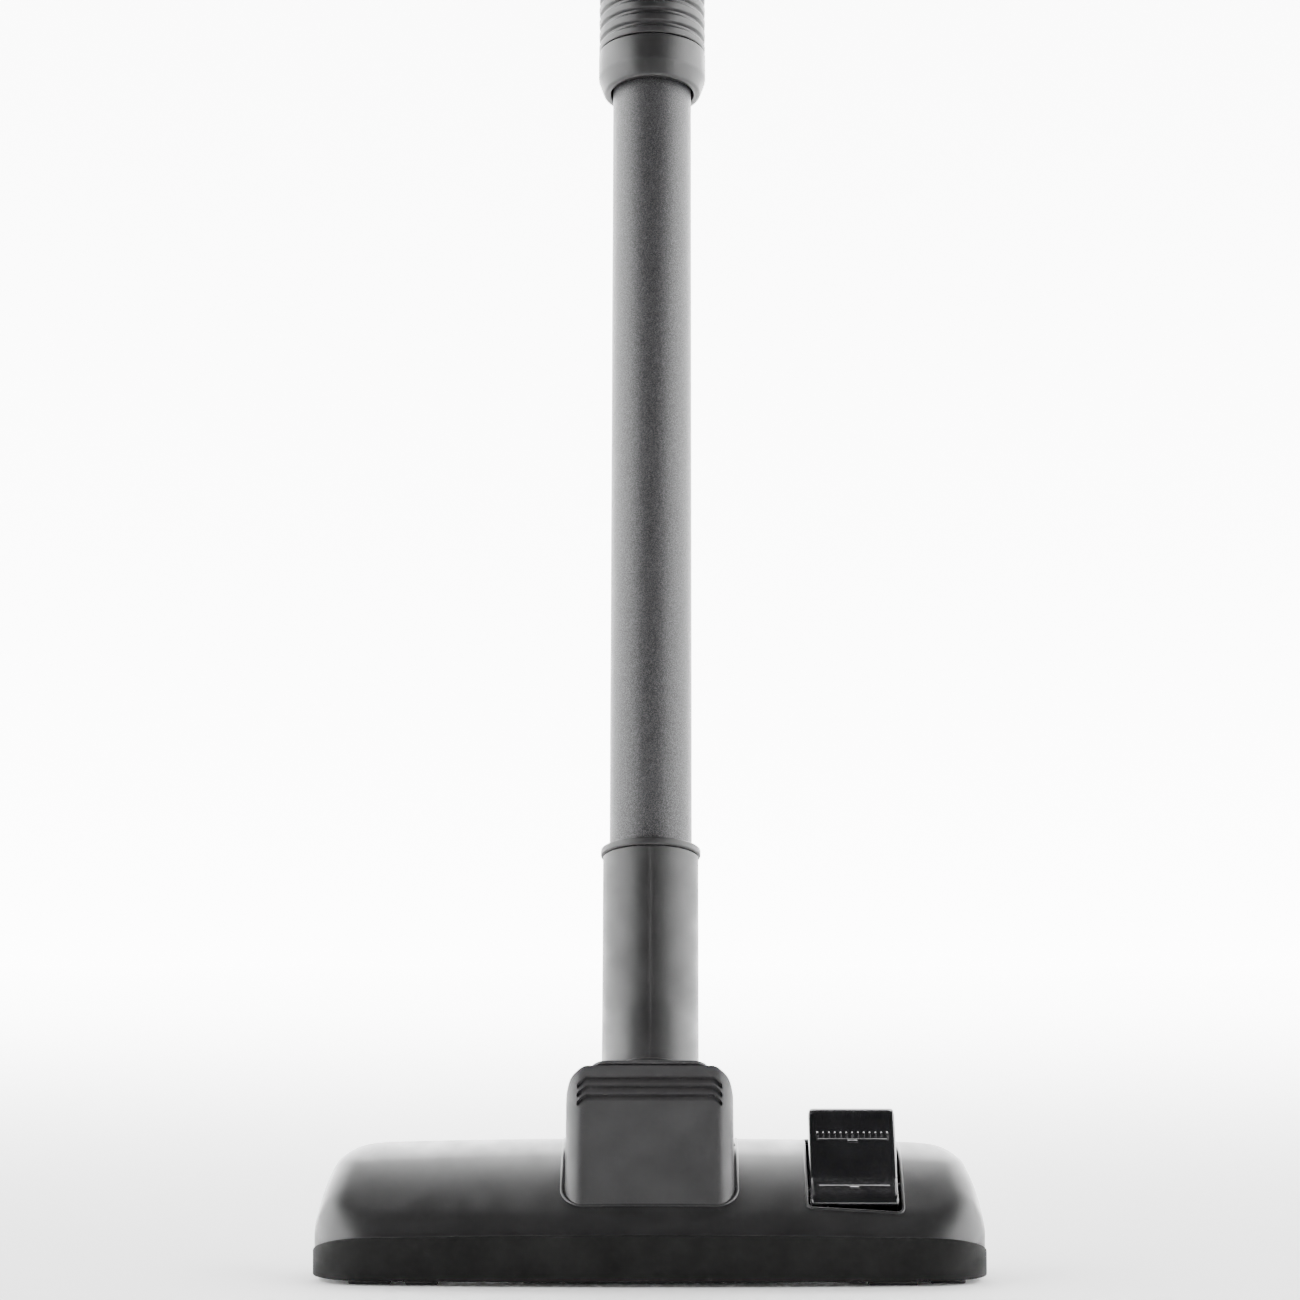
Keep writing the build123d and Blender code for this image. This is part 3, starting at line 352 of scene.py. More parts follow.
def bristle_tree(material):
    """Filaments on a grid of points, each a thin rod, slightly splayed."""
    sizes = [(label, "Float") for label in ("Length", "Depth", "Height", "Thickness")]
    group, given = growth_tree("bristle_row", sizes + [("Along", "Int"), ("Across", "Int")])
    nodes, links = group.nodes, group.links
    grid = nodes.new("GeometryNodeMeshGrid")
    links.new(given.outputs["Length"], grid.inputs["Size X"])
    links.new(given.outputs["Depth"], grid.inputs["Size Y"])
    links.new(given.outputs["Along"], grid.inputs["Vertices X"])
    links.new(given.outputs["Across"], grid.inputs["Vertices Y"])
    moved = nodes.new("GeometryNodeSetPosition")
    links.new(grid.outputs["Mesh"], moved.inputs["Geometry"])
    jitter = scatter(nodes, (-0.0003, -0.0002, 0), (0.0003, 0.0002, 0), 4)
    links.new(jitter, moved.inputs["Offset"])
    rod = nodes.new("GeometryNodeMeshCone")
    rod.inputs["Vertices"].default_value = 5
    rod.inputs["Side Segments"].default_value = 1
    links.new(given.outputs["Height"], rod.inputs["Depth"])
    links.new(given.outputs["Thickness"], rod.inputs["Radius Bottom"])
    links.new(given.outputs["Thickness"], rod.inputs["Radius Top"])
    lean = scatter(nodes, (-0.07, -0.05, 0), (0.07, 0.05, 3.1), 9)
    return copied_to_points(group, moved.outputs["Geometry"], rod.outputs["Mesh"], lean, material)


def grown(group, values, name):
    """The mesh that a geometry-nodes tree makes with these inputs."""
    obj = linked(name, bpy.data.meshes.new(name))
    modifier = obj.modifiers.new("grow", "NODES")
    modifier.node_group = group
    for socket in group.interface.items_tree:
        if socket.in_out == "INPUT" and socket.name in values:
            modifier[socket.identifier] = values[socket.name]
    return baked(obj)


def joined(name, meshes):
    """Several meshes as one."""
    cage = bmesh.new()
    for mesh in meshes:
        cage.from_mesh(mesh)
    whole = bpy.data.meshes.new(name)
    cage.to_mesh(whole)
    cage.free()
    return whole


row_tree = bristle_tree(bristle_finish)
filament_pitch = 0.9 * MM


def bristle_row(low, high, name):
    """One row of filaments that fills a box between two corners."""
    length, depth = high.x - low.x - 1.6 * MM, high.y - low.y - 1.0 * MM
    height = high.z - low.z - 0.2 * MM
    mesh = grown(row_tree, {"Length": length, "Depth": depth, "Height": height, "Thickness": 0.16 * MM,
                            "Along": int(length / filament_pitch), "Across": 3}, name)
    mesh.transform(Matrix.Translation(((low.x + high.x) / 2, (low.y + high.y) / 2, low.z + 0.1 * MM)))
    return mesh


low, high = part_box("front_bristles")
add_piece("front_bristles_piece", bristle_row(low, high, "front_row"), "brushes",
          bristle_finish, ["front_bristles"])
low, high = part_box("rear_bristles")
rear_inner = 45 * MM
left_row = bristle_row(low, Vector((-rear_inner, high.y, high.z)), "rear_row_left")
right_row = bristle_row(Vector((rear_inner, low.y, low.z)), high, "rear_row_right")
add_piece("rear_bristles_piece", joined("rear_rows", [left_row, right_row]), "brushes",
          bristle_finish, ["rear_bristles"])

# Top shell: one domed black moulding with a satin face, closed round the ends and open over
# the hub and the pedal. Its openings have a thin raised lip, and it is screwed on from below.


def soft_corner(a, b, radius):
    """The distance field of two walls that meet in a round corner."""
    corner = np.hypot(np.maximum(a + radius, 0), np.maximum(b + radius, 0))
    return np.minimum(np.maximum(a, b), -radius) + corner


def skin(name, field, centre, spine, reach, rows, columns):
    """A closed mesh where a distance field is zero, seen from a spine along X."""
    tilt = (np.arange(rows + 1) / rows - 0.5) * math.pi
    start_x = centre[0] + spine * np.sign(tilt) * np.abs(2 * tilt / math.pi) ** 0.8
    around = np.arange(columns) * 2 * math.pi / columns
    ray = np.stack([np.sin(tilt)[:, None] + 0 * around, np.cos(tilt)[:, None] * np.cos(around),
                    np.cos(tilt)[:, None] * np.sin(around)], axis=-1)
    start = np.stack([start_x, np.full(rows + 1, centre[1]), np.full(rows + 1, centre[2])], axis=-1)[:, None]
    near, far = np.zeros(ray.shape[:2]), np.full(ray.shape[:2], reach)
    for _ in range(40):
        middle = (near + far) / 2
        point = start + ray * middle[..., None]
        outside = field(point[..., 0], point[..., 1], point[..., 2]) > 0
        far = np.where(outside, middle, far)
        near = np.where(outside, near, middle)
    point = start + ray * near[..., None]
    faces = []
    for i in range(rows):
        for k in range(columns):
            m = (k + 1) % columns
            faces.append((i * columns + k, i * columns + m, (i + 1) * columns + m, (i + 1) * columns + k))
    mesh = bpy.data.meshes.new(name)
    mesh.from_pydata(point.reshape(-1, 3).tolist(), [], faces)
    return outward(mesh, 1e-6)


shell_low, shell_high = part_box("top_shell")
half_width = 137.0 * MM
nose_y, tail_y = shell_low.y, shell_high.y
crown_z = shell_high.z
nose_z = 19.5 * MM
nose_bow = 8.0 * MM
widest_y = -13.0 * MM
crown_drop = 4.0 * MM
end_draft = 4.5 * MM
slope_run = 72.0 * MM
slope_power = 1.75
bow_radius = (half_width**2 + nose_bow**2) / (2 * nose_bow)


def slope_height(y):
    """The height of the shell's front slope, steep at the nose and flat at the crown."""
    t = np.clip((y - nose_y) / slope_run, 0, 1)
    return nose_z + (crown_z - nose_z) * (1 - (1 - t) ** slope_power)


def shell_field(x, y, z, inset=0.0):
    """Distance to the shell's outer face, drawn in by inset."""
    bowed_y = nose_y + bow_radius - np.hypot(x, y - nose_y - bow_radius)
    past = y - widest_y
    narrow = np.where(past > 0, 9 * (past / (59 * MM)) ** 2, 2 * (past / (25 * MM)) ** 2)
    draft = end_draft * np.clip((z - nose_z) / (31 * MM), 0, 2)
    side = np.abs(x) - half_width + narrow * MM + draft
    outline = soft_corner(soft_corner(side, nose_y - bowed_y, 23 * MM), y - tail_y, 20 * MM)
    crown = z - crown_z + crown_drop * (x / half_width) ** 2
    lean = (slope_height(bowed_y + 0.5 * MM) - slope_height(bowed_y - 0.5 * MM)) / MM
    slope = (z - slope_height(bowed_y)) / np.sqrt(1 + lean**2)
    top = soft_corner(slope, crown, 6 * MM)
    return soft_corner(top, outline, 12 * MM) + inset


def prism(name, points, low, high, axis="Z"):
    """A straight prism over an outline, used to cut openings."""
    count = len(points)
    put = {"Z": lambda a, b, c: (a, b, c), "X": lambda a, b, c: (c, a, b)}[axis]
    verts = [put(a, b, low) for a, b in points] + [put(a, b, high) for a, b in points]
    faces = [tuple(range(count)), tuple(range(count, 2 * count))]
    faces += [(i, (i + 1) % count, (i + 1) % count + count, i + count) for i in range(count)]
    mesh = bpy.data.meshes.new(name)
    mesh.from_pydata(verts, [], faces)
    return outward(mesh)


def carve(mesh, cutters, operation="DIFFERENCE"):
    """The mesh with each cutter's shape taken out of it, or kept."""
    obj = linked("blank", mesh)
    tools = []
    for cutter in cutters:
        tool = linked("cutter", cutter)
        tools.append(tool)
        modifier = obj.modifiers.new("cut", "BOOLEAN")
        modifier.operation = operation
        modifier.solver = "EXACT"
        modifier.object = tool
    result = baked(obj)
    for tool in tools:
        bpy.data.objects.remove(tool)
    return result


def box_outline(low_x, low_y, high_x, high_y, radius=0.0):
    """A rectangle's corners, rounded if asked."""
    points = [(low_x, low_y), (high_x, low_y), (high_x, high_y), (low_x, high_y)]
    return rounded(points, radius, 6) if radius else np.array(points)


drum_centre = joints["tilt"]["pos_m"]
drum_radius = 25.5 * MM
hub_half = 34.6 * MM
hub_corner = 7.5 * MM
bay_gap = 1.1 * MM
bay_half = hub_half + bay_gap
bay_front_y = drum_centre[1] - drum_radius - bay_gap
bay_outline = box_outline(-bay_half, bay_front_y, bay_half, 0.2, hub_corner + bay_gap)
pedal_x = joints["pedal_rock"]["pos_m"][0]
window_half = 19.6 * MM
window_outline = box_outline(pedal_x - window_half, -29.6 * MM, pedal_x + window_half, 32 * MM, 2.5 * MM)
seam_slope = 0.3
seam_front_z = 21.5 * MM
seam_side_z = 8.5 * MM
seam_turn_y = nose_y + (seam_front_z - seam_side_z) / seam_slope


def below_seam(shift):
    """The side view of everything under the parting line."""
    return [(nose_y - 0.1, seam_front_z + 0.1 * seam_slope + shift), (seam_turn_y, seam_side_z + shift),
            (0.3, seam_side_z + shift), (0.3, -0.3), (nose_y - 0.1, -0.3)]


wheel_x = joints["right_wheel_spin"]["pos_m"][0]
room_half, room_front, housing_wall = 10.9 * MM, 37.6 * MM, 1.5 * MM


def wheel_outlines(grow):
    """The plans of the two wheels' rooms, grown on all sides."""
    half = room_half + grow
    return [box_outline(x - half, room_front - grow, x + half, 0.2) for x in (-wheel_x, wheel_x)]


rows, columns = ((260, 140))
shell_centre = (0, 8 * MM, 22 * MM)
outer = skin("shell_face", shell_field, shell_centre, 112 * MM, 0.2, rows, columns)
shell_wall = 2.4 * MM
inner = skin("shell_back", lambda x, y, z: shell_field(x, y, z, shell_wall), shell_centre,
             110 * MM, 0.2, 100, 60)
floor_cut = prism("under", below_seam(0), -0.3, 0.3, "X")
housings = [prism("housing", outline, 15 * MM, 29 * MM) for outline in wheel_outlines(housing_wall)]
inner = carve(inner, housings)
cutters = [inner, floor_cut, prism("bay", bay_outline, 0, 0.2), prism("window", window_outline, 0, 0.2)]
cutters += [prism("wheel_room", outline, -0.1, 27.5 * MM) for outline in wheel_outlines(0)]
shell_mesh = carve(outer, cutters)


def surface_height(x, y, field, low, high):
    """The height at which a field crosses zero above a place in the plan."""
    low, high = np.full(len(x), low), np.full(len(x), high)
    for _ in range(40):
        middle = (low + high) / 2
        outside = field(x, y, middle) > 0
        high = np.where(outside, middle, high)
        low = np.where(outside, low, middle)
    return low


def piped(name, path, radius, closed, sides=10):
    """A round bead along a path of points."""
    path = np.array(path)
    count = len(path)
    ahead = np.roll(path, -1, 0) - np.roll(path, 1, 0)
    if not closed:
        ahead[0], ahead[-1] = path[1] - path[0], path[-1] - path[-2]
    ahead /= np.linalg.norm(ahead, axis=1)[:, None]
    over = np.cross(ahead, (0, 0, 1.0))
    over /= np.linalg.norm(over, axis=1)[:, None]
    up = np.cross(over, ahead)
    angles = np.arange(sides) * 2 * math.pi / sides
    ring = np.cos(angles)[None, :, None] * over[:, None] + np.sin(angles)[None, :, None] * up[:, None]
    verts = (path[:, None] + radius * ring).reshape(-1, 3).tolist()
    faces = []
    for i in range(count if closed else count - 1):
        j = (i + 1) % count
        for k in range(sides):
            m = (k + 1) % sides
            faces.append((i * sides + k, j * sides + k, j * sides + m, i * sides + m))
    if not closed:
        faces.append(tuple(range(sides)))
        faces.append(tuple(range((count - 1) * sides, count * sides)))
    mesh = bpy.data.meshes.new(name)
    mesh.from_pydata(verts, [], faces)
    return outward(mesh)


def along(outline, step):
    """Points at an even step round a closed outline."""
    points = []
    for a, b in zip(outline, np.roll(outline, -1, 0)):
        parts = max(1, int(np.linalg.norm(b - a) / step))
        points += [a + (b - a) * i / parts for i in range(parts)]
    return np.array(points)


def lip(name, outline, radius):
    """A raised lip round an opening, where its outline lies on the shell."""
    plan = along(outline, 1.5 * MM)
    keep = plan[:, 1] < tail_y - 1.5 * MM
    closed = bool(keep.all())
    if not closed:
        first = int(np.argmax(keep & ~np.roll(keep, 1)))
        plan = np.roll(plan, -first, 0)[: int(keep.sum())]
    height = surface_height(plan[:, 0], plan[:, 1], shell_field, 0.02, 0.07)
    return piped(name, np.column_stack([plan, height - 0.35 * radius]), radius, closed)


shell_finish = moulded_plastic("shell_satin_black", (0.014, 0.014, 0.0145), 0.34, 2600, 0.000035, 0.15)
bay_lip = lip("bay_lip", bay_outline, 0.9 * MM)
window_lip = lip("window_lip", window_outline, 0.7 * MM)
shell_mesh = joined("top_shell_mesh", [shell_mesh, bay_lip, window_lip])
add_piece("top_shell_piece", shell_mesh, "floor_head", shell_finish, ["top_shell"], 40)

# Bumper: a soft black rubber band moulded round the nose and the sides to save the furniture.
# It stands a little proud of the shell and is rounded along both of its long edges.
bumper_finish = moulded_plastic("bumper_soft_rubber", (0.006, 0.006, 0.006), 0.7, 1500, 0.00005)
bumper_finish.node_tree.nodes["Principled BSDF"].inputs["Specular IOR Level"].default_value = 0.15
softened("bumper", 0.8 * MM, "floor_head", bumper_finish, 4)

# Rocker pedal: polished black plastic, pressed by foot to drop or lift the brushes.
# Two facets meet in a shallow valley over its pin, each with a small brush symbol on it.
pedal_low, pedal_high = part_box("pedal")
pedal_half = (pedal_high.x - pedal_low.x) / 2
valley = np.array([-13.0, 41.6]) * MM
toe = np.array([-27.0, 33.6]) * MM
crest = np.array([14.0, 66.6]) * MM


def plane_field(y, z, first, second):
    """Distance above a line in the side view that runs from first to second."""
    run = (second - first) / np.linalg.norm(second - first)
    return (z - first[1]) * run[0] - (y - first[0]) * run[1]


def pedal_field(x, y, z):
    top = np.minimum(plane_field(y, z, toe, valley), plane_field(y, z, valley, crest))
    side = np.abs(x - pedal_x) - pedal_half
    ends = soft_corner(toe[0] - y, y - 21.0 * MM, 2 * MM)
    back = plane_field(y, z, np.array([16.8, 66.4]) * MM, np.array([21.0, 44.0]) * MM)
    body = soft_corner(soft_corner(top, back, 2.2 * MM), ends, 1.2 * MM)
    return soft_corner(soft_corner(body, side, 1.6 * MM), 31 * MM - z, 0.5 * MM)


pedal_finish, tree, shader = new_material("pedal_piano_black", (0.008, 0.008, 0.009), 0.12)
shader.inputs["Coat Weight"].default_value = 0.6
shader.inputs["Coat Roughness"].default_value = 0.06
tint(tree, shader, noise(tree, 60, 4), (0.006, 0.006, 0.007), (0.012, 0.012, 0.013))
tree.links.new(spread(tree, noise(tree, 500, 6), 0.09, 0.2), shader.inputs["Roughness"])
pedal_mesh = skin("pedal_cap", pedal_field, (pedal_x, -2 * MM, 40 * MM), 12 * MM, 0.1, 140, 160)


def bar_row_tree(material):
    """A row of equal small bars along X."""
    inputs = [("Count", "Int"), ("Pitch", "Float"), ("Start", "Float"), ("Size", "Vector")]
    group, given = growth_tree("bar_row", inputs)
    nodes, links = group.nodes, group.links
    line = nodes.new("GeometryNodeMeshLine")
    step = nodes.new("ShaderNodeCombineXYZ")
    first = nodes.new("ShaderNodeCombineXYZ")
    links.new(given.outputs["Count"], line.inputs["Count"])
    links.new(given.outputs["Pitch"], step.inputs["X"])
    links.new(given.outputs["Start"], first.inputs["X"])
    links.new(step.outputs["Vector"], line.inputs["Offset"])
    links.new(first.outputs["Vector"], line.inputs["Start Location"])
    bar = nodes.new("GeometryNodeMeshCube")
    links.new(given.outputs["Size"], bar.inputs["Size"])
    return copied_to_points(group, line.outputs["Mesh"], bar.outputs["Mesh"], None, material)


mark_tree = bar_row_tree(pedal_finish)


def facet_turn(first, second, rise, x):
    """Places flat work on a facet of the pedal: its Y runs up the facet, from first by rise."""
    run = (second - first) / np.linalg.norm(second - first)
    place = first + run * rise
    return Matrix(((1, 0, 0, x), (0, run[0], -run[1], place[0]),
                   (0, run[1], run[0], place[1]), (0, 0, 0, 1)))


def marks(name, count, pitch, size, first, second, rise):
    """A row of raised marks on a facet."""
    start = -(count - 1) * pitch / 2
    mesh = grown(mark_tree, {"Count": count, "Pitch": pitch, "Start": start, "Size": size}, name)
    mesh.transform(facet_turn(first, second, rise, pedal_x))
    return mesh


mark_height = 0.5 * MM
mark_length = 28.8 * MM
tick_count = 13
tick_pitch = mark_length / (tick_count - 1)
upper, lower = (valley, crest), (toe, valley)
symbols = [
    marks("ticks", tick_count, tick_pitch, (0.7 * MM, 3.4 * MM, mark_height), *upper, 23.0 * MM),
    marks("upper_line", 1, 0, (mark_length + 0.7 * MM, 0.7 * MM, mark_height), *upper, 20.6 * MM),
    marks("ends", 2, mark_length, (0.8 * MM, 5.0 * MM, mark_height), *upper, 22.4 * MM),
    marks("upper_stem", 1, 0, (4.2 * MM, 1.5 * MM, mark_height), *upper, 19.4 * MM),
    marks("lower_line", 1, 0, (mark_length, 0.8 * MM, mark_height), *lower, 9.6 * MM),
    marks("lower_stem", 1, 0, (3.6 * MM, 1.6 * MM, mark_height), *lower, 8.4 * MM),
]
pedal_mesh = joined("pedal_mesh", [pedal_mesh] + [edged(symbol, 0.1 * MM, 1) for symbol in symbols])
add_piece("pedal_piece", pedal_mesh, "rocker", pedal_finish, ["pedal"], 60)

# Hub: the tilting joint between the floor tool and the wand, a cross drum that grows into a
# leaning box. Front body and rear cover are two mouldings glued along a line, with three
# grooves across the top of the face, and the collar plate is screwed on over the neck's flange.
hub_y, hub_z = drum_centre[1], drum_centre[2]
swivel_axis = np.array(joints["swivel"]["axis"])
collar = np.array(joints["swivel"]["pos_m"])
swivel_back = np.array([0, swivel_axis[2], -swivel_axis[1]])
wand_axis = np.array(joints["telescope"]["axis"])
lean = math.atan2(wand_axis[1], wand_axis[2])
face_foot = np.array([hub_y - drum_radius * math.cos(lean), hub_z + drum_radius * math.sin(lean)])
face_top = face_foot + np.array([math.sin(lean), math.cos(lean)])
hub_back_foot = np.array([hub_y + drum_radius, hub_z])
hub_back_top = collar[1:] + swivel_back[1:] * 27 * MM - np.array([0, 4 * MM])
hub_taper = 0.4 * MM
shoulder_round = 9.8 * MM


def hub_field(x, y, z, inset=0.0):
    """Distance to the hub's outer face, drawn in by inset."""
    height = (y - collar[1]) * swivel_axis[1] + (z - collar[2]) * swivel_axis[2]
    front = plane_field(y, z, face_foot, face_top)
    back = -plane_field(y, z, hub_back_foot, hub_back_top)
    side = np.abs(x) - hub_half + hub_taper * np.clip((z - hub_z) / (50 * MM), 0, 1)
    drum = np.hypot(y - hub_y, z - hub_z) - drum_radius
    box = np.maximum(soft_corner(front, height, 1.0 * MM), soft_corner(back, hub_z - 3 * MM - z, 0.1 * MM))
    blend = np.maximum(2.5 * MM - np.abs(box - drum), 0) / (2.5 * MM)
    belly = np.minimum(box, drum) - blend**2 * 2.5 * MM / 4
    cheek = soft_corner(belly, side, hub_corner)
    shoulder = soft_corner(height, side, shoulder_round)
    return np.maximum(cheek, shoulder) + inset


def sliced(mesh, point, normal, keep_above=True):
    """Part of a closed mesh on one side of a plane, closed again."""
    cage = bmesh.new()
    cage.from_mesh(mesh)
    geometry = cage.verts[:] + cage.edges[:] + cage.faces[:]
    cut = bmesh.ops.bisect_plane(cage, geom=geometry, plane_co=point, plane_no=normal,
                                 clear_outer=not keep_above, clear_inner=keep_above)
    rim = [e for e in cut["geom_cut"] if isinstance(e, bmesh.types.BMEdge)]
    bmesh.ops.contextual_create(cage, geom=rim)
    bmesh.ops.recalc_face_normals(cage, faces=cage.faces)
    part = bpy.data.meshes.new(mesh.name + "_part")
    cage.to_mesh(part)
    cage.free()
    return part


hub_centre_point = (0, -1 * MM, 48 * MM)
slot_depth = 2.0 * MM
hub_wall = 3.8 * MM
hub_solid = skin("hub_solid", hub_field, hub_centre_point, 20 * MM, 0.1, 160, 220)
hub_room = skin("hub_room", lambda x, y, z: hub_field(x, y, z, hub_wall), hub_centre_point,
                18 * MM, 0.1, 60, 90)
slot_floor = skin("slot_floor", lambda x, y, z: hub_field(x, y, z, slot_depth), hub_centre_point,
                  18 * MM, 0.1, 100, 150)
neck_radius = 20.25 * MM
plate_thickness = 2.4 * MM
plate_groove = 0.9 * MM


def swivel_ring(name, inner, outer, low, high, soft=0.0):
    outline = rounded([(inner, low), (outer, low), (outer, high), (inner, high)], soft)
    return turned(name, outline, collar, swivel_axis, (1, 0, 0))


def swivel_rod(name, radius, low, high):
    outline = np.array([(1e-5, low), (radius, low), (radius, high), (1e-5, high)])
    return turned(name, outline, collar, swivel_axis, (1, 0, 0), 96)


hub_finish = moulded_plastic("hub_satin_black", (0.03, 0.03, 0.031), 0.42, 2400, 0.00004, 0.15)
turn = Matrix(((1, 0, 0), (0, swivel_back[1], swivel_axis[1]), (0, swivel_back[2], swivel_axis[2])))
to_collar = Matrix.Translation(collar) @ turn.to_4x4()


def plate_layer(name, inset, low, high):
    """One level of the collar plate, a rounded rectangle square to the swivel's axis."""
    half_width, half_depth = 24.6 * MM - inset, 26.6 * MM - inset
    outline = box_outline(-half_width, -half_depth, half_width, half_depth, 7 * MM - inset)
    mesh = prism(name, outline, low, high)
    mesh.transform(to_collar)
    return mesh


plate = edged(plate_layer("plate", 0, plate_groove, plate_thickness), 0.45 * MM, 3)
plate = carve(plate, [plate_layer("plate_foot", 1.8 * MM, 0, plate_groove + 0.2 * MM)], "UNION")
plate = carve(plate, [swivel_rod("neck_hole", neck_radius + 0.35 * MM, -0.02, 0.02)])
add_piece("collar_plate_piece", plate, "hub", hub_finish, ["collar_plate"], 40)

slot_count = 3
slot_pitch = 3.4 * MM
slot_height = 2.3 * MM
first_slot = -4.8 * MM
slot_half = 29.8 * MM
slot_hook = 2.6 * MM
slot_bend = slot_half - 3.6 * MM
to_front = to_collar @ Matrix.Rotation(math.radians(90), 4, "X")
slot_radii = [0.4 * MM, 2.5 * MM, 2.5 * MM, 0.4 * MM] * 2
slot_cutters = []
for row in range(slot_count):
    top = first_slot - row * slot_pitch
    end_top = top - slot_hook
    edges = [(-slot_half, end_top), (-slot_bend, top), (slot_bend, top), (slot_half, end_top)]
    edges += [(x, z - slot_height) for x, z in edges[::-1]]
    slab = prism("slot", rounded(edges, slot_radii), 12 * MM, 60 * MM)
    slab.transform(to_front)
    slot_cutters.append(carve(slab, [slot_floor.copy()]))
room = sliced(hub_room, collar - swivel_axis * 5.8 * MM, swivel_axis, False)
air_half, air_depth = 26 * MM, 13 * MM
air_outline = box_outline(-air_half, hub_y - air_depth, air_half, hub_y + air_depth, 3 * MM)
passage = prism("passage", air_outline, 0, 25 * MM)
bore = swivel_rod("bore", 17.7 * MM, -14 * MM, 0.02)
flange_room = swivel_rod("flange_room", 22.35 * MM, -3.8 * MM, 0.02)
body = carve(hub_solid, slot_cutters + [room, passage, bore, flange_room])
parting = np.array([0, hub_y + 9 * MM, hub_z])
parting_normal = np.array([0, math.cos(lean), -math.sin(lean)])
half_space = prism("behind", box_outline(-0.1, 0, 0.1, 0.2), -0.2, 0.2)
turn = Matrix(((1, 0, 0), (0, parting_normal[1], math.sin(lean)), (0, parting_normal[2], math.cos(lean))))
half_space.transform(Matrix.Translation(parting) @ turn.to_4x4())
rear = carve(body.copy(), [half_space.copy()], "INTERSECT")
front = carve(body, [half_space])
trunnion_reach = hub_half + bay_gap + 4.6 * MM
thrust_reach = hub_half + bay_gap - 0.3 * MM
for side in (-1, 1):
    profile = np.array([(1e-5, hub_half - 1 * MM), (19 * MM, hub_half - 1 * MM), (19 * MM, thrust_reach),
                        (6 * MM, thrust_reach), (6 * MM, trunnion_reach), (1e-5, trunnion_reach)])
    trunnion = turned("trunnion", profile, drum_centre, (side, 0, 0), (0, 0, 1), 96)
    front = carve(front, [trunnion], "UNION")
add_piece("hub_body_piece", front, "hub", hub_finish, ["hub_body"], 40)
add_piece("hub_cover_piece", rear, "hub", hub_finish, ["hub_cover"], 40)

seal_finish = moulded_plastic("seal_rubber_black", (0.010, 0.010, 0.010), 0.5, 1200, 0.00004)
seal_bore, seal_radius, seal_top = neck_radius + 0.35 * MM, 22.6 * MM, 6.6 * MM
seal_mesh = swivel_ring("swivel_seal", seal_bore, seal_radius, plate_thickness, seal_top, 0.9 * MM)
add_piece("swivel_seal_piece", seal_mesh, "hub", seal_finish, ["swivel_seal"])

# Neck: two black plastic halves, welded along a line down the middle, that turn in the hub's
# collar and bend up to the wand. The tube pushes into its open end past a rubber ring.
wand_side = np.array([1.0, 0, 0])
bore_mount = next(m for m in frame["record"]["mounts"] if m["name"] == "handle_bore")
bore_point = np.array(bore_mount["pos_m"])
cross_axis = wand_axis[1] * swivel_axis[2] - wand_axis[2] * swivel_axis[1]
gap = bore_point - collar
stem = (wand_axis[1] * gap[2] - wand_axis[2] * gap[1]) / cross_axis
mitre = collar + swivel_axis * stem
neck_mouth = 74.3 * MM
bend_reach = 7.0 * MM


def neck_path():
    """Centres and directions down the neck: straight, a short bend at the mitre, straight."""
    under = -3.3 * MM
    flange = under + 3 * MM
    heights = (under, flange, flange, flange + 0.3 * MM, stem - bend_reach)
    stops = [(collar + swivel_axis * s, swivel_axis) for s in heights]
    for i in range(1, 10):
        t = i / 10
        start, end = mitre - swivel_axis * bend_reach, mitre + wand_axis * bend_reach
        point = start * (1 - t) ** 2 + 2 * mitre * t * (1 - t) + end * t**2
        direction = (mitre - start) * (1 - t) + (end - mitre) * t
        stops.append((point, direction / np.linalg.norm(direction)))
    heights = (bend_reach, 30 * MM, 50 * MM, 70.5 * MM, 70.8 * MM, neck_mouth)
    return stops + [(mitre + wand_axis * s, wand_axis) for s in heights]


def neck_half(name, sign):
    """One welded half: outer and inner walls over half a turn, with a small chamfer at the weld."""
    stops = neck_path()
    outer = [22 * MM, 22 * MM] + [neck_radius] * (len(stops) - 4) + [19.15 * MM, 19.15 * MM]
    inner = [17.7 * MM] * 5 + list(np.linspace(17.6, 16.2, 9) * MM)
    inner += [16.1 * MM] + [17.65 * MM] * 5
    steps = 64
    angles = np.linspace(0, math.pi, steps + 1)
    weld = 0.28 * MM
    loops = []
    for (point, direction), ro, ri in zip(stops, outer, inner):
        front_back = np.cross(direction, (1.0, 0, 0))
        ring = []
        for k, a in enumerate(angles):
            r = ro - (weld if k in (0, steps) else 0)
            ring.append(point + r * (math.cos(a) * front_back + sign * math.sin(a) * np.array([1.0, 0, 0])))
        for a in angles[::-1]:
            ring.append(point + ri * (math.cos(a) * front_back + sign * math.sin(a) * np.array([1.0, 0, 0])))
        loops.append(ring)
    count = len(loops[0])
    verts = [tuple(v) for ring in loops for v in ring]
    faces = []
    for i in range(len(loops) - 1):
        for k in range(count):
            m = (k + 1) % count
            faces.append((i * count + k, i * count + m, (i + 1) * count + m, (i + 1) * count + k))
    for base in (0, (len(loops) - 1) * count):
        for k in range(steps):
            faces.append((base + k, base + k + 1, base + count - 2 - k, base + count - 1 - k))
    mesh = bpy.data.meshes.new(name)
    mesh.from_pydata(verts, [], faces)
    return outward(mesh)


neck_finish = moulded_plastic("neck_satin_black", (0.014, 0.014, 0.0145), 0.45, 2400, 0.00004, 0.15)
for name, sign in (("neck_left", -1), ("neck_right", 1)):
    add_piece(name + "_piece", neck_half(name, sign), "neck", neck_finish, [name], 40)


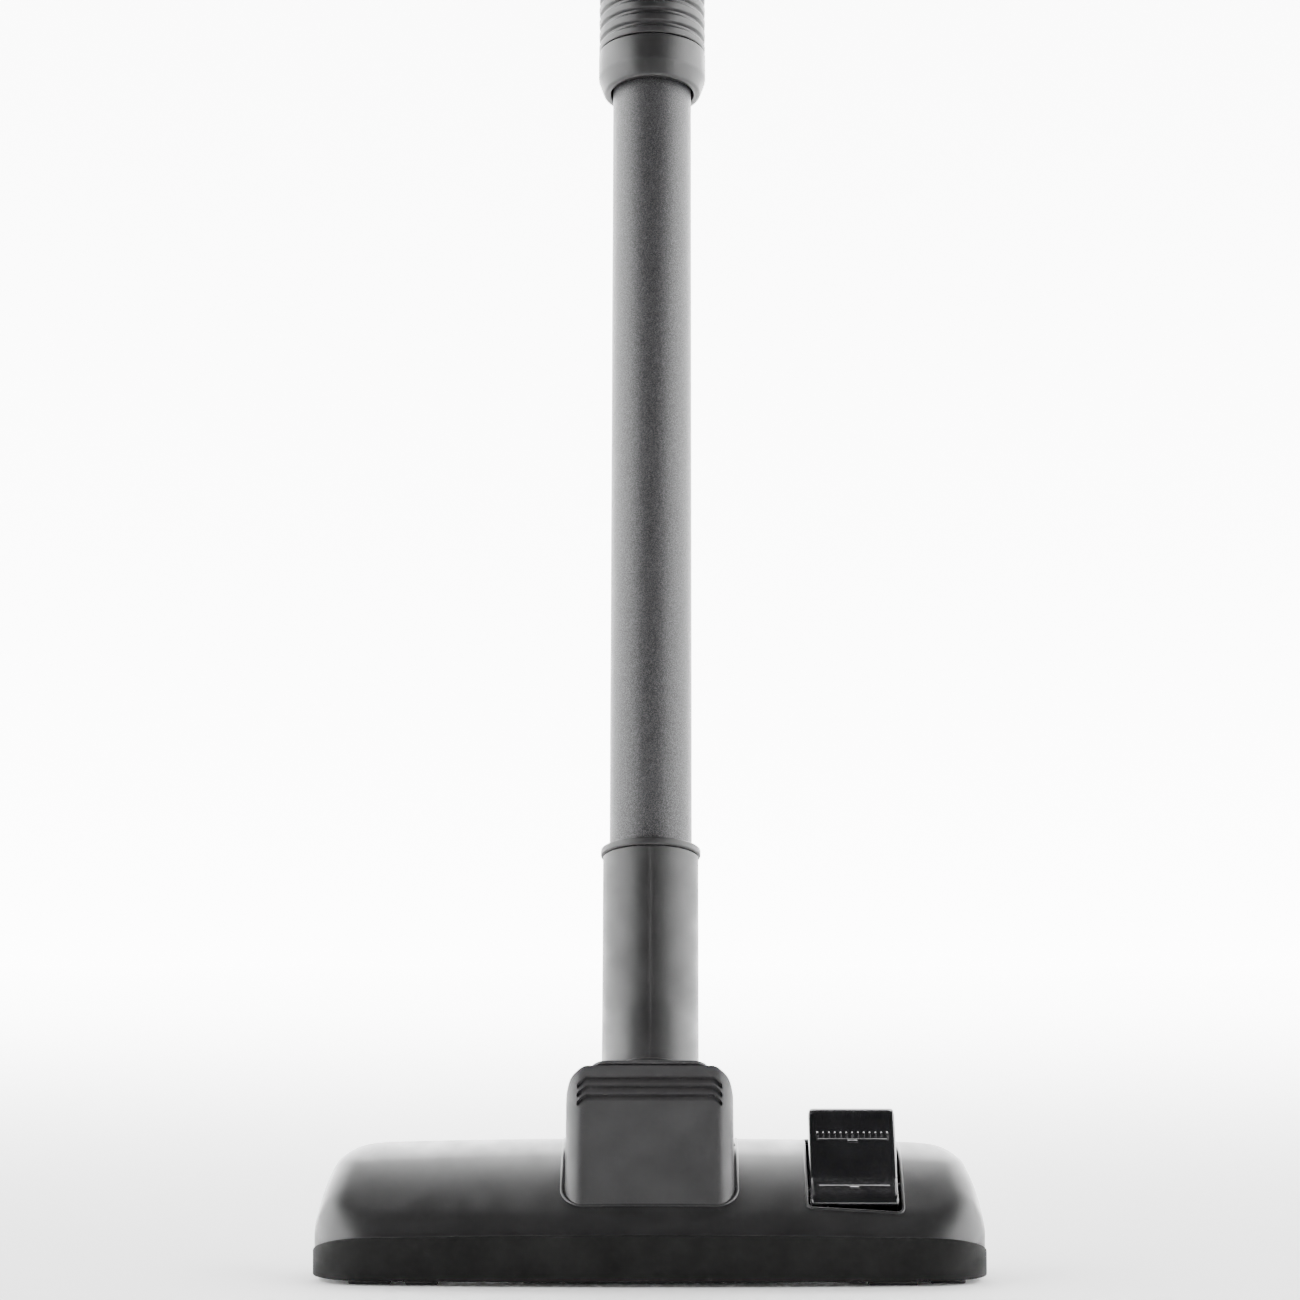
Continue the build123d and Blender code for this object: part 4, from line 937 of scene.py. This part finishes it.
def wand_turned(name, points, radii, steps=5, segments=160):
    """A piece spun round the wand's axis, heights measured from the neck's mitre."""
    return turned(name, rounded(points, radii, steps), mitre, wand_axis, wand_side, segments)


bead_low = neck_mouth - 3.5 * MM
bead_bore, bead_radius = 19.15 * MM, 21.2 * MM
bead_points = [(bead_bore, bead_low), (bead_radius, bead_low),
               (bead_radius, neck_mouth), (bead_bore, neck_mouth)]
bead = wand_turned("neck_ring", bead_points, [0.1 * MM, 1.3 * MM, 1.3 * MM, 0.4 * MM], 8)
add_piece("neck_ring_piece", bead, "neck", neck_finish, ["neck_ring"])
seal_low = neck_mouth - 13 * MM
ring_points = [(17.55 * MM, seal_low), (18.9 * MM, seal_low), (18.9 * MM, seal_low + 3 * MM),
               (17.55 * MM, seal_low + 3 * MM)]
ring = wand_turned("neck_seal", ring_points, 0.5 * MM)
add_piece("neck_seal_piece", ring, "neck", seal_finish, ["neck_seal"])

# Outer tube: drawn aluminium with a dark speckled powder coat, cut square and deburred.
# A small window near its top lets the lock key reach the inner tube.
tube_radius = 17.5 * MM
tube_wall = 0.8 * MM


def height_on_wand(point):
    """How far a point is along the wand from the mitre."""
    return float((np.array(point) - mitre) @ wand_axis)


def node_span(node):
    """Lowest and highest place of a CAD node along the wand."""
    along_wand = [height_on_wand(v.co) for v in frame["nodes"][node].data.vertices]
    return min(along_wand), max(along_wand)


coat_finish, tree, shader = new_material("speckled_powder_coat", (0.03, 0.03, 0.031), 0.42)
fleck = noise(tree, 2600, 2)
tint(tree, shader, fleck, (0.008, 0.008, 0.009), (0.075, 0.075, 0.078), 0.42, 0.68)
tree.links.new(spread(tree, noise(tree, 1700, 3), 0.32, 0.55), shader.inputs["Roughness"])
grain(tree, shader, fleck, 0.00012, 0.8, grain(tree, shader, noise(tree, 700, 2), 0.0001, 0.5))
tube_low, tube_high = node_span("outer_tube")
key_low, key_high = node_span("lock_key")
tube_points = [(tube_radius - tube_wall, tube_low), (tube_radius, tube_low), (tube_radius, tube_high),
               (tube_radius - tube_wall, tube_high)]
tube = wand_turned("outer_tube", tube_points, 0.2 * MM, 2)
window_plan = box_outline(-4.2 * MM, 14 * MM, 4.2 * MM, 20 * MM, 1 * MM)
window = prism("key_window", window_plan, key_low - 1 * MM, key_high + 1 * MM)
wand_turn = Matrix(((1, 0, 0), (0, wand_axis[2], wand_axis[1]), (0, -wand_axis[1], wand_axis[2])))
to_wand = Matrix.Translation(mitre) @ wand_turn.to_4x4()
window.transform(to_wand)
tube = carve(tube, [window])
add_piece("outer_tube_piece", tube, "lower_wand", coat_finish, ["outer_tube"])

# Lock sleeve: a collar with a rounded nose, a ribbed slider that the hand pulls, and a cap.
# All are moulded in satin black plastic, and the ribs are turned into the mould.
sleeve_finish = moulded_plastic("sleeve_satin_black", (0.014, 0.014, 0.0145), 0.36, 2200, 0.00004, 0.15)
sleeve_radius = 24 * MM
low, high = node_span("sleeve_collar")
collar_points = [(18.4 * MM, low), (21.4 * MM, low), (sleeve_radius, low + 7.5 * MM), (sleeve_radius, high),
                 (tube_radius, high), (tube_radius, high - 9 * MM), (20.9 * MM, high - 9 * MM),
                 (20.9 * MM, low + 4 * MM), (18.4 * MM, low + 4 * MM)]
collar_radii = [1.0 * MM, 2.6 * MM, 6 * MM, 0.7 * MM, 0, 0.2 * MM, 0.2 * MM, 0.2 * MM, 0.8 * MM]
sleeve = wand_turned("sleeve_collar", collar_points, collar_radii, 7)
add_piece("sleeve_collar_piece", sleeve, "lower_wand", sleeve_finish, ["sleeve_collar"])

low, high = node_span("lock_slider")
rib_count = 6
rib_pitch = 6.3 * MM
rib_depth = 1.5 * MM
skirt_radius = 21.1 * MM
slider_points = [(17.8 * MM, low)]
slider_radii = [0.2 * MM]
for rib in range(rib_count):
    foot = low + rib * rib_pitch
    slider_points += [(sleeve_radius - 0.2 * MM, foot), (sleeve_radius, foot + rib_pitch - 2.9 * MM),
                      (sleeve_radius - rib_depth, foot + rib_pitch - 2.0 * MM),
                      (sleeve_radius - rib_depth, foot + rib_pitch - 0.8 * MM)]
    slider_radii += [0.9 * MM, 0.9 * MM, 0.5 * MM, 0.5 * MM]
rib_top = low + rib_count * rib_pitch
slider_points += [(skirt_radius, rib_top), (skirt_radius, high), (19.5 * MM, high),
                  (19.5 * MM, rib_top - 1 * MM), (20.6 * MM, rib_top - 2 * MM), (20.6 * MM, low + 3 * MM),
                  (17.8 * MM, low + 3 * MM)]
slider_radii += [0.4 * MM, 0.4 * MM, 0.3 * MM, 0.3 * MM, 0.3 * MM, 0.4 * MM, 0.2 * MM]
slider = wand_turned("lock_slider", slider_points, slider_radii, 4)
add_piece("lock_slider_piece", slider, "slider", sleeve_finish, ["lock_slider"])

low, high = node_span("sleeve_cap")
cap_points = [(21.6 * MM, low), (sleeve_radius, low), (sleeve_radius, high), (16.6 * MM, high),
              (16.6 * MM, tube_high), (tube_radius, tube_high), (tube_radius, tube_high - 8 * MM + 0.4 * MM),
              (21.6 * MM, tube_high - 8 * MM + 0.4 * MM)]
cap_radii = [0.3 * MM, 0.8 * MM, 3 * MM, 0.6 * MM, 0, 0, 0.2 * MM, 0.3 * MM]
cap = wand_turned("sleeve_cap", cap_points, cap_radii, 7)
add_piece("sleeve_cap_piece", cap, "lower_wand", sleeve_finish, ["sleeve_cap"])
softened("lock_key", 0.4 * MM, "key", steel_finish, 3)

# Inner tube: drawn aluminium, satin anodised, with a row of notches for the lock key.
# Acetal rings at its foot and in the outer tube's mouth keep it running true.
bare_finish, tree, shader = new_material("satin_anodised_tube", (0.66, 0.66, 0.67), 0.3, 1.0)
drawn = noise(tree, 1500, 3, (1, 1, 0.02))
tint(tree, shader, drawn, (0.58, 0.58, 0.59), (0.72, 0.72, 0.73))
tree.links.new(spread(tree, drawn, 0.24, 0.38), shader.inputs["Roughness"])
softened("inner_tube", 0.1 * MM, "upper_wand", bare_finish, 1)
acetal_finish = moulded_plastic("acetal_white", (0.62, 0.62, 0.6), 0.4, 1200, 0.00003, 0.06)
softened("guide_bush", 0.2 * MM, "lower_wand", acetal_finish)
softened("slide_ring", 0.2 * MM, "upper_wand", acetal_finish)

# Handle socket: the black plastic end of the wand that takes the hose handle.
# It is glued on the inner tube, with a rolled rim and a rubber ring at the foot of its bore.
low, high = node_span("handle_socket")
socket_radius = 19.8 * MM
handle_bore = bore_mount["dims"]["r_mm"] * MM
bore_depth = 35 * MM
rim_radius = socket_radius + 1.2 * MM
glue_radius = 15.4 * MM
socket_points = [(16 * MM, low), (socket_radius, low), (socket_radius, high - 4.2 * MM),
                 (rim_radius, high - 3.6 * MM), (rim_radius, high), (handle_bore, high),
                 (handle_bore, high - bore_depth), (glue_radius, high - bore_depth),
                 (glue_radius, low + 14 * MM), (16 * MM, low + 14 * MM)]
socket_radii = [r * MM for r in (0.3, 1.2, 0.8, 0.5, 0.9, 0.7, 0.2, 0.1, 0.1, 0.1)]
socket = wand_turned("handle_socket", socket_points, socket_radii, 6)
add_piece("handle_socket_piece", socket, "upper_wand", sleeve_finish, ["handle_socket"])
softened("socket_seal", 0.3 * MM, "upper_wand", seal_finish, 3)

# Studio: a pale floor whose brightening towards the glowing back wall is a painted glow in the floor itself, none
# just behind the piece and full 2.4 m back, which also lights the piece from behind; a long glowing wall on each
# side; nothing bright in front or overhead, and the camera level with the lower wand.
floor_mesh = bpy.data.meshes.new("studio_floor")
floor_mesh.from_pydata([(-6, -4, 0), (6, -4, 0), (6, 5, 0), (-6, 5, 0)], [], [(0, 1, 2, 3)])
floor = linked("studio_floor", floor_mesh)
floor_painted_glow_finish, tree, shader = new_material("pale_floor", (0.92, 0.92, 0.92), 0.8)
place = tree.nodes.new("ShaderNodeTexCoord")
along = tree.nodes.new("ShaderNodeSeparateXYZ")
# Painted glow on the floor: its emission rises with distance behind the piece, standing in for the back wall's
# light on the floor, and it also lights the set.
rise = tree.nodes.new("ShaderNodeMapRange")
rise.interpolation_type = "SMOOTHSTEP"
tree.links.new(place.outputs["Object"], along.inputs[0])
tree.links.new(along.outputs["Y"], rise.inputs["Value"])
rise.inputs["From Min"].default_value = 0.1
rise.inputs["From Max"].default_value = 2.4
rise.inputs["To Max"].default_value = 6.0
shader.inputs["Emission Color"].default_value = (1, 1, 1, 1)
tree.links.new(rise.outputs["Result"], shader.inputs["Emission Strength"])
floor_mesh.materials.append(floor_painted_glow_finish)


def glowing_wall(name, corners, strength):
    """An upright white panel between two floor corners that lights the set."""
    (x0, y0), (x1, y1), height = corners
    mesh = bpy.data.meshes.new(name)
    mesh.from_pydata([(x0, y0, 0), (x1, y1, 0), (x1, y1, height), (x0, y0, height)], [], [(0, 1, 2, 3)])
    glow, tree, shader = new_material(name + "_glow", (0.9, 0.9, 0.9), 0.9)
    shader.inputs["Emission Color"].default_value = (1, 1, 1, 1)
    shader.inputs["Emission Strength"].default_value = strength
    mesh.materials.append(glow)
    obj = linked(name, mesh)


glowing_wall("back_wall", ((-2.8, 3.2), (2.8, 3.2), 5.0), 6.0)
glowing_wall("left_wall", ((-3.4, -3.9), (-3.6, 3.2), 4.0), 4.0)
glowing_wall("right_wall", ((3.4, -3.9), (3.6, 3.2), 4.0), 4.0)

world = bpy.data.worlds.new("studio_air")
world.use_nodes = True
world.node_tree.nodes["Background"].inputs["Color"].default_value = (1, 1, 1, 1)
world.node_tree.nodes["Background"].inputs["Strength"].default_value = 0.04
bpy.context.scene.world = world

camera_data = bpy.data.cameras.new("camera")
camera_data.sensor_width = 36
camera_data.lens = 120.7
camera_data.clip_start = 0.01
camera = linked("camera", camera_data)
camera.location = (0.012, -1.802, 0.1988)
camera.rotation_euler = (math.radians(90 + 1.866), 0, math.radians(0.38))
bpy.context.scene.camera = camera
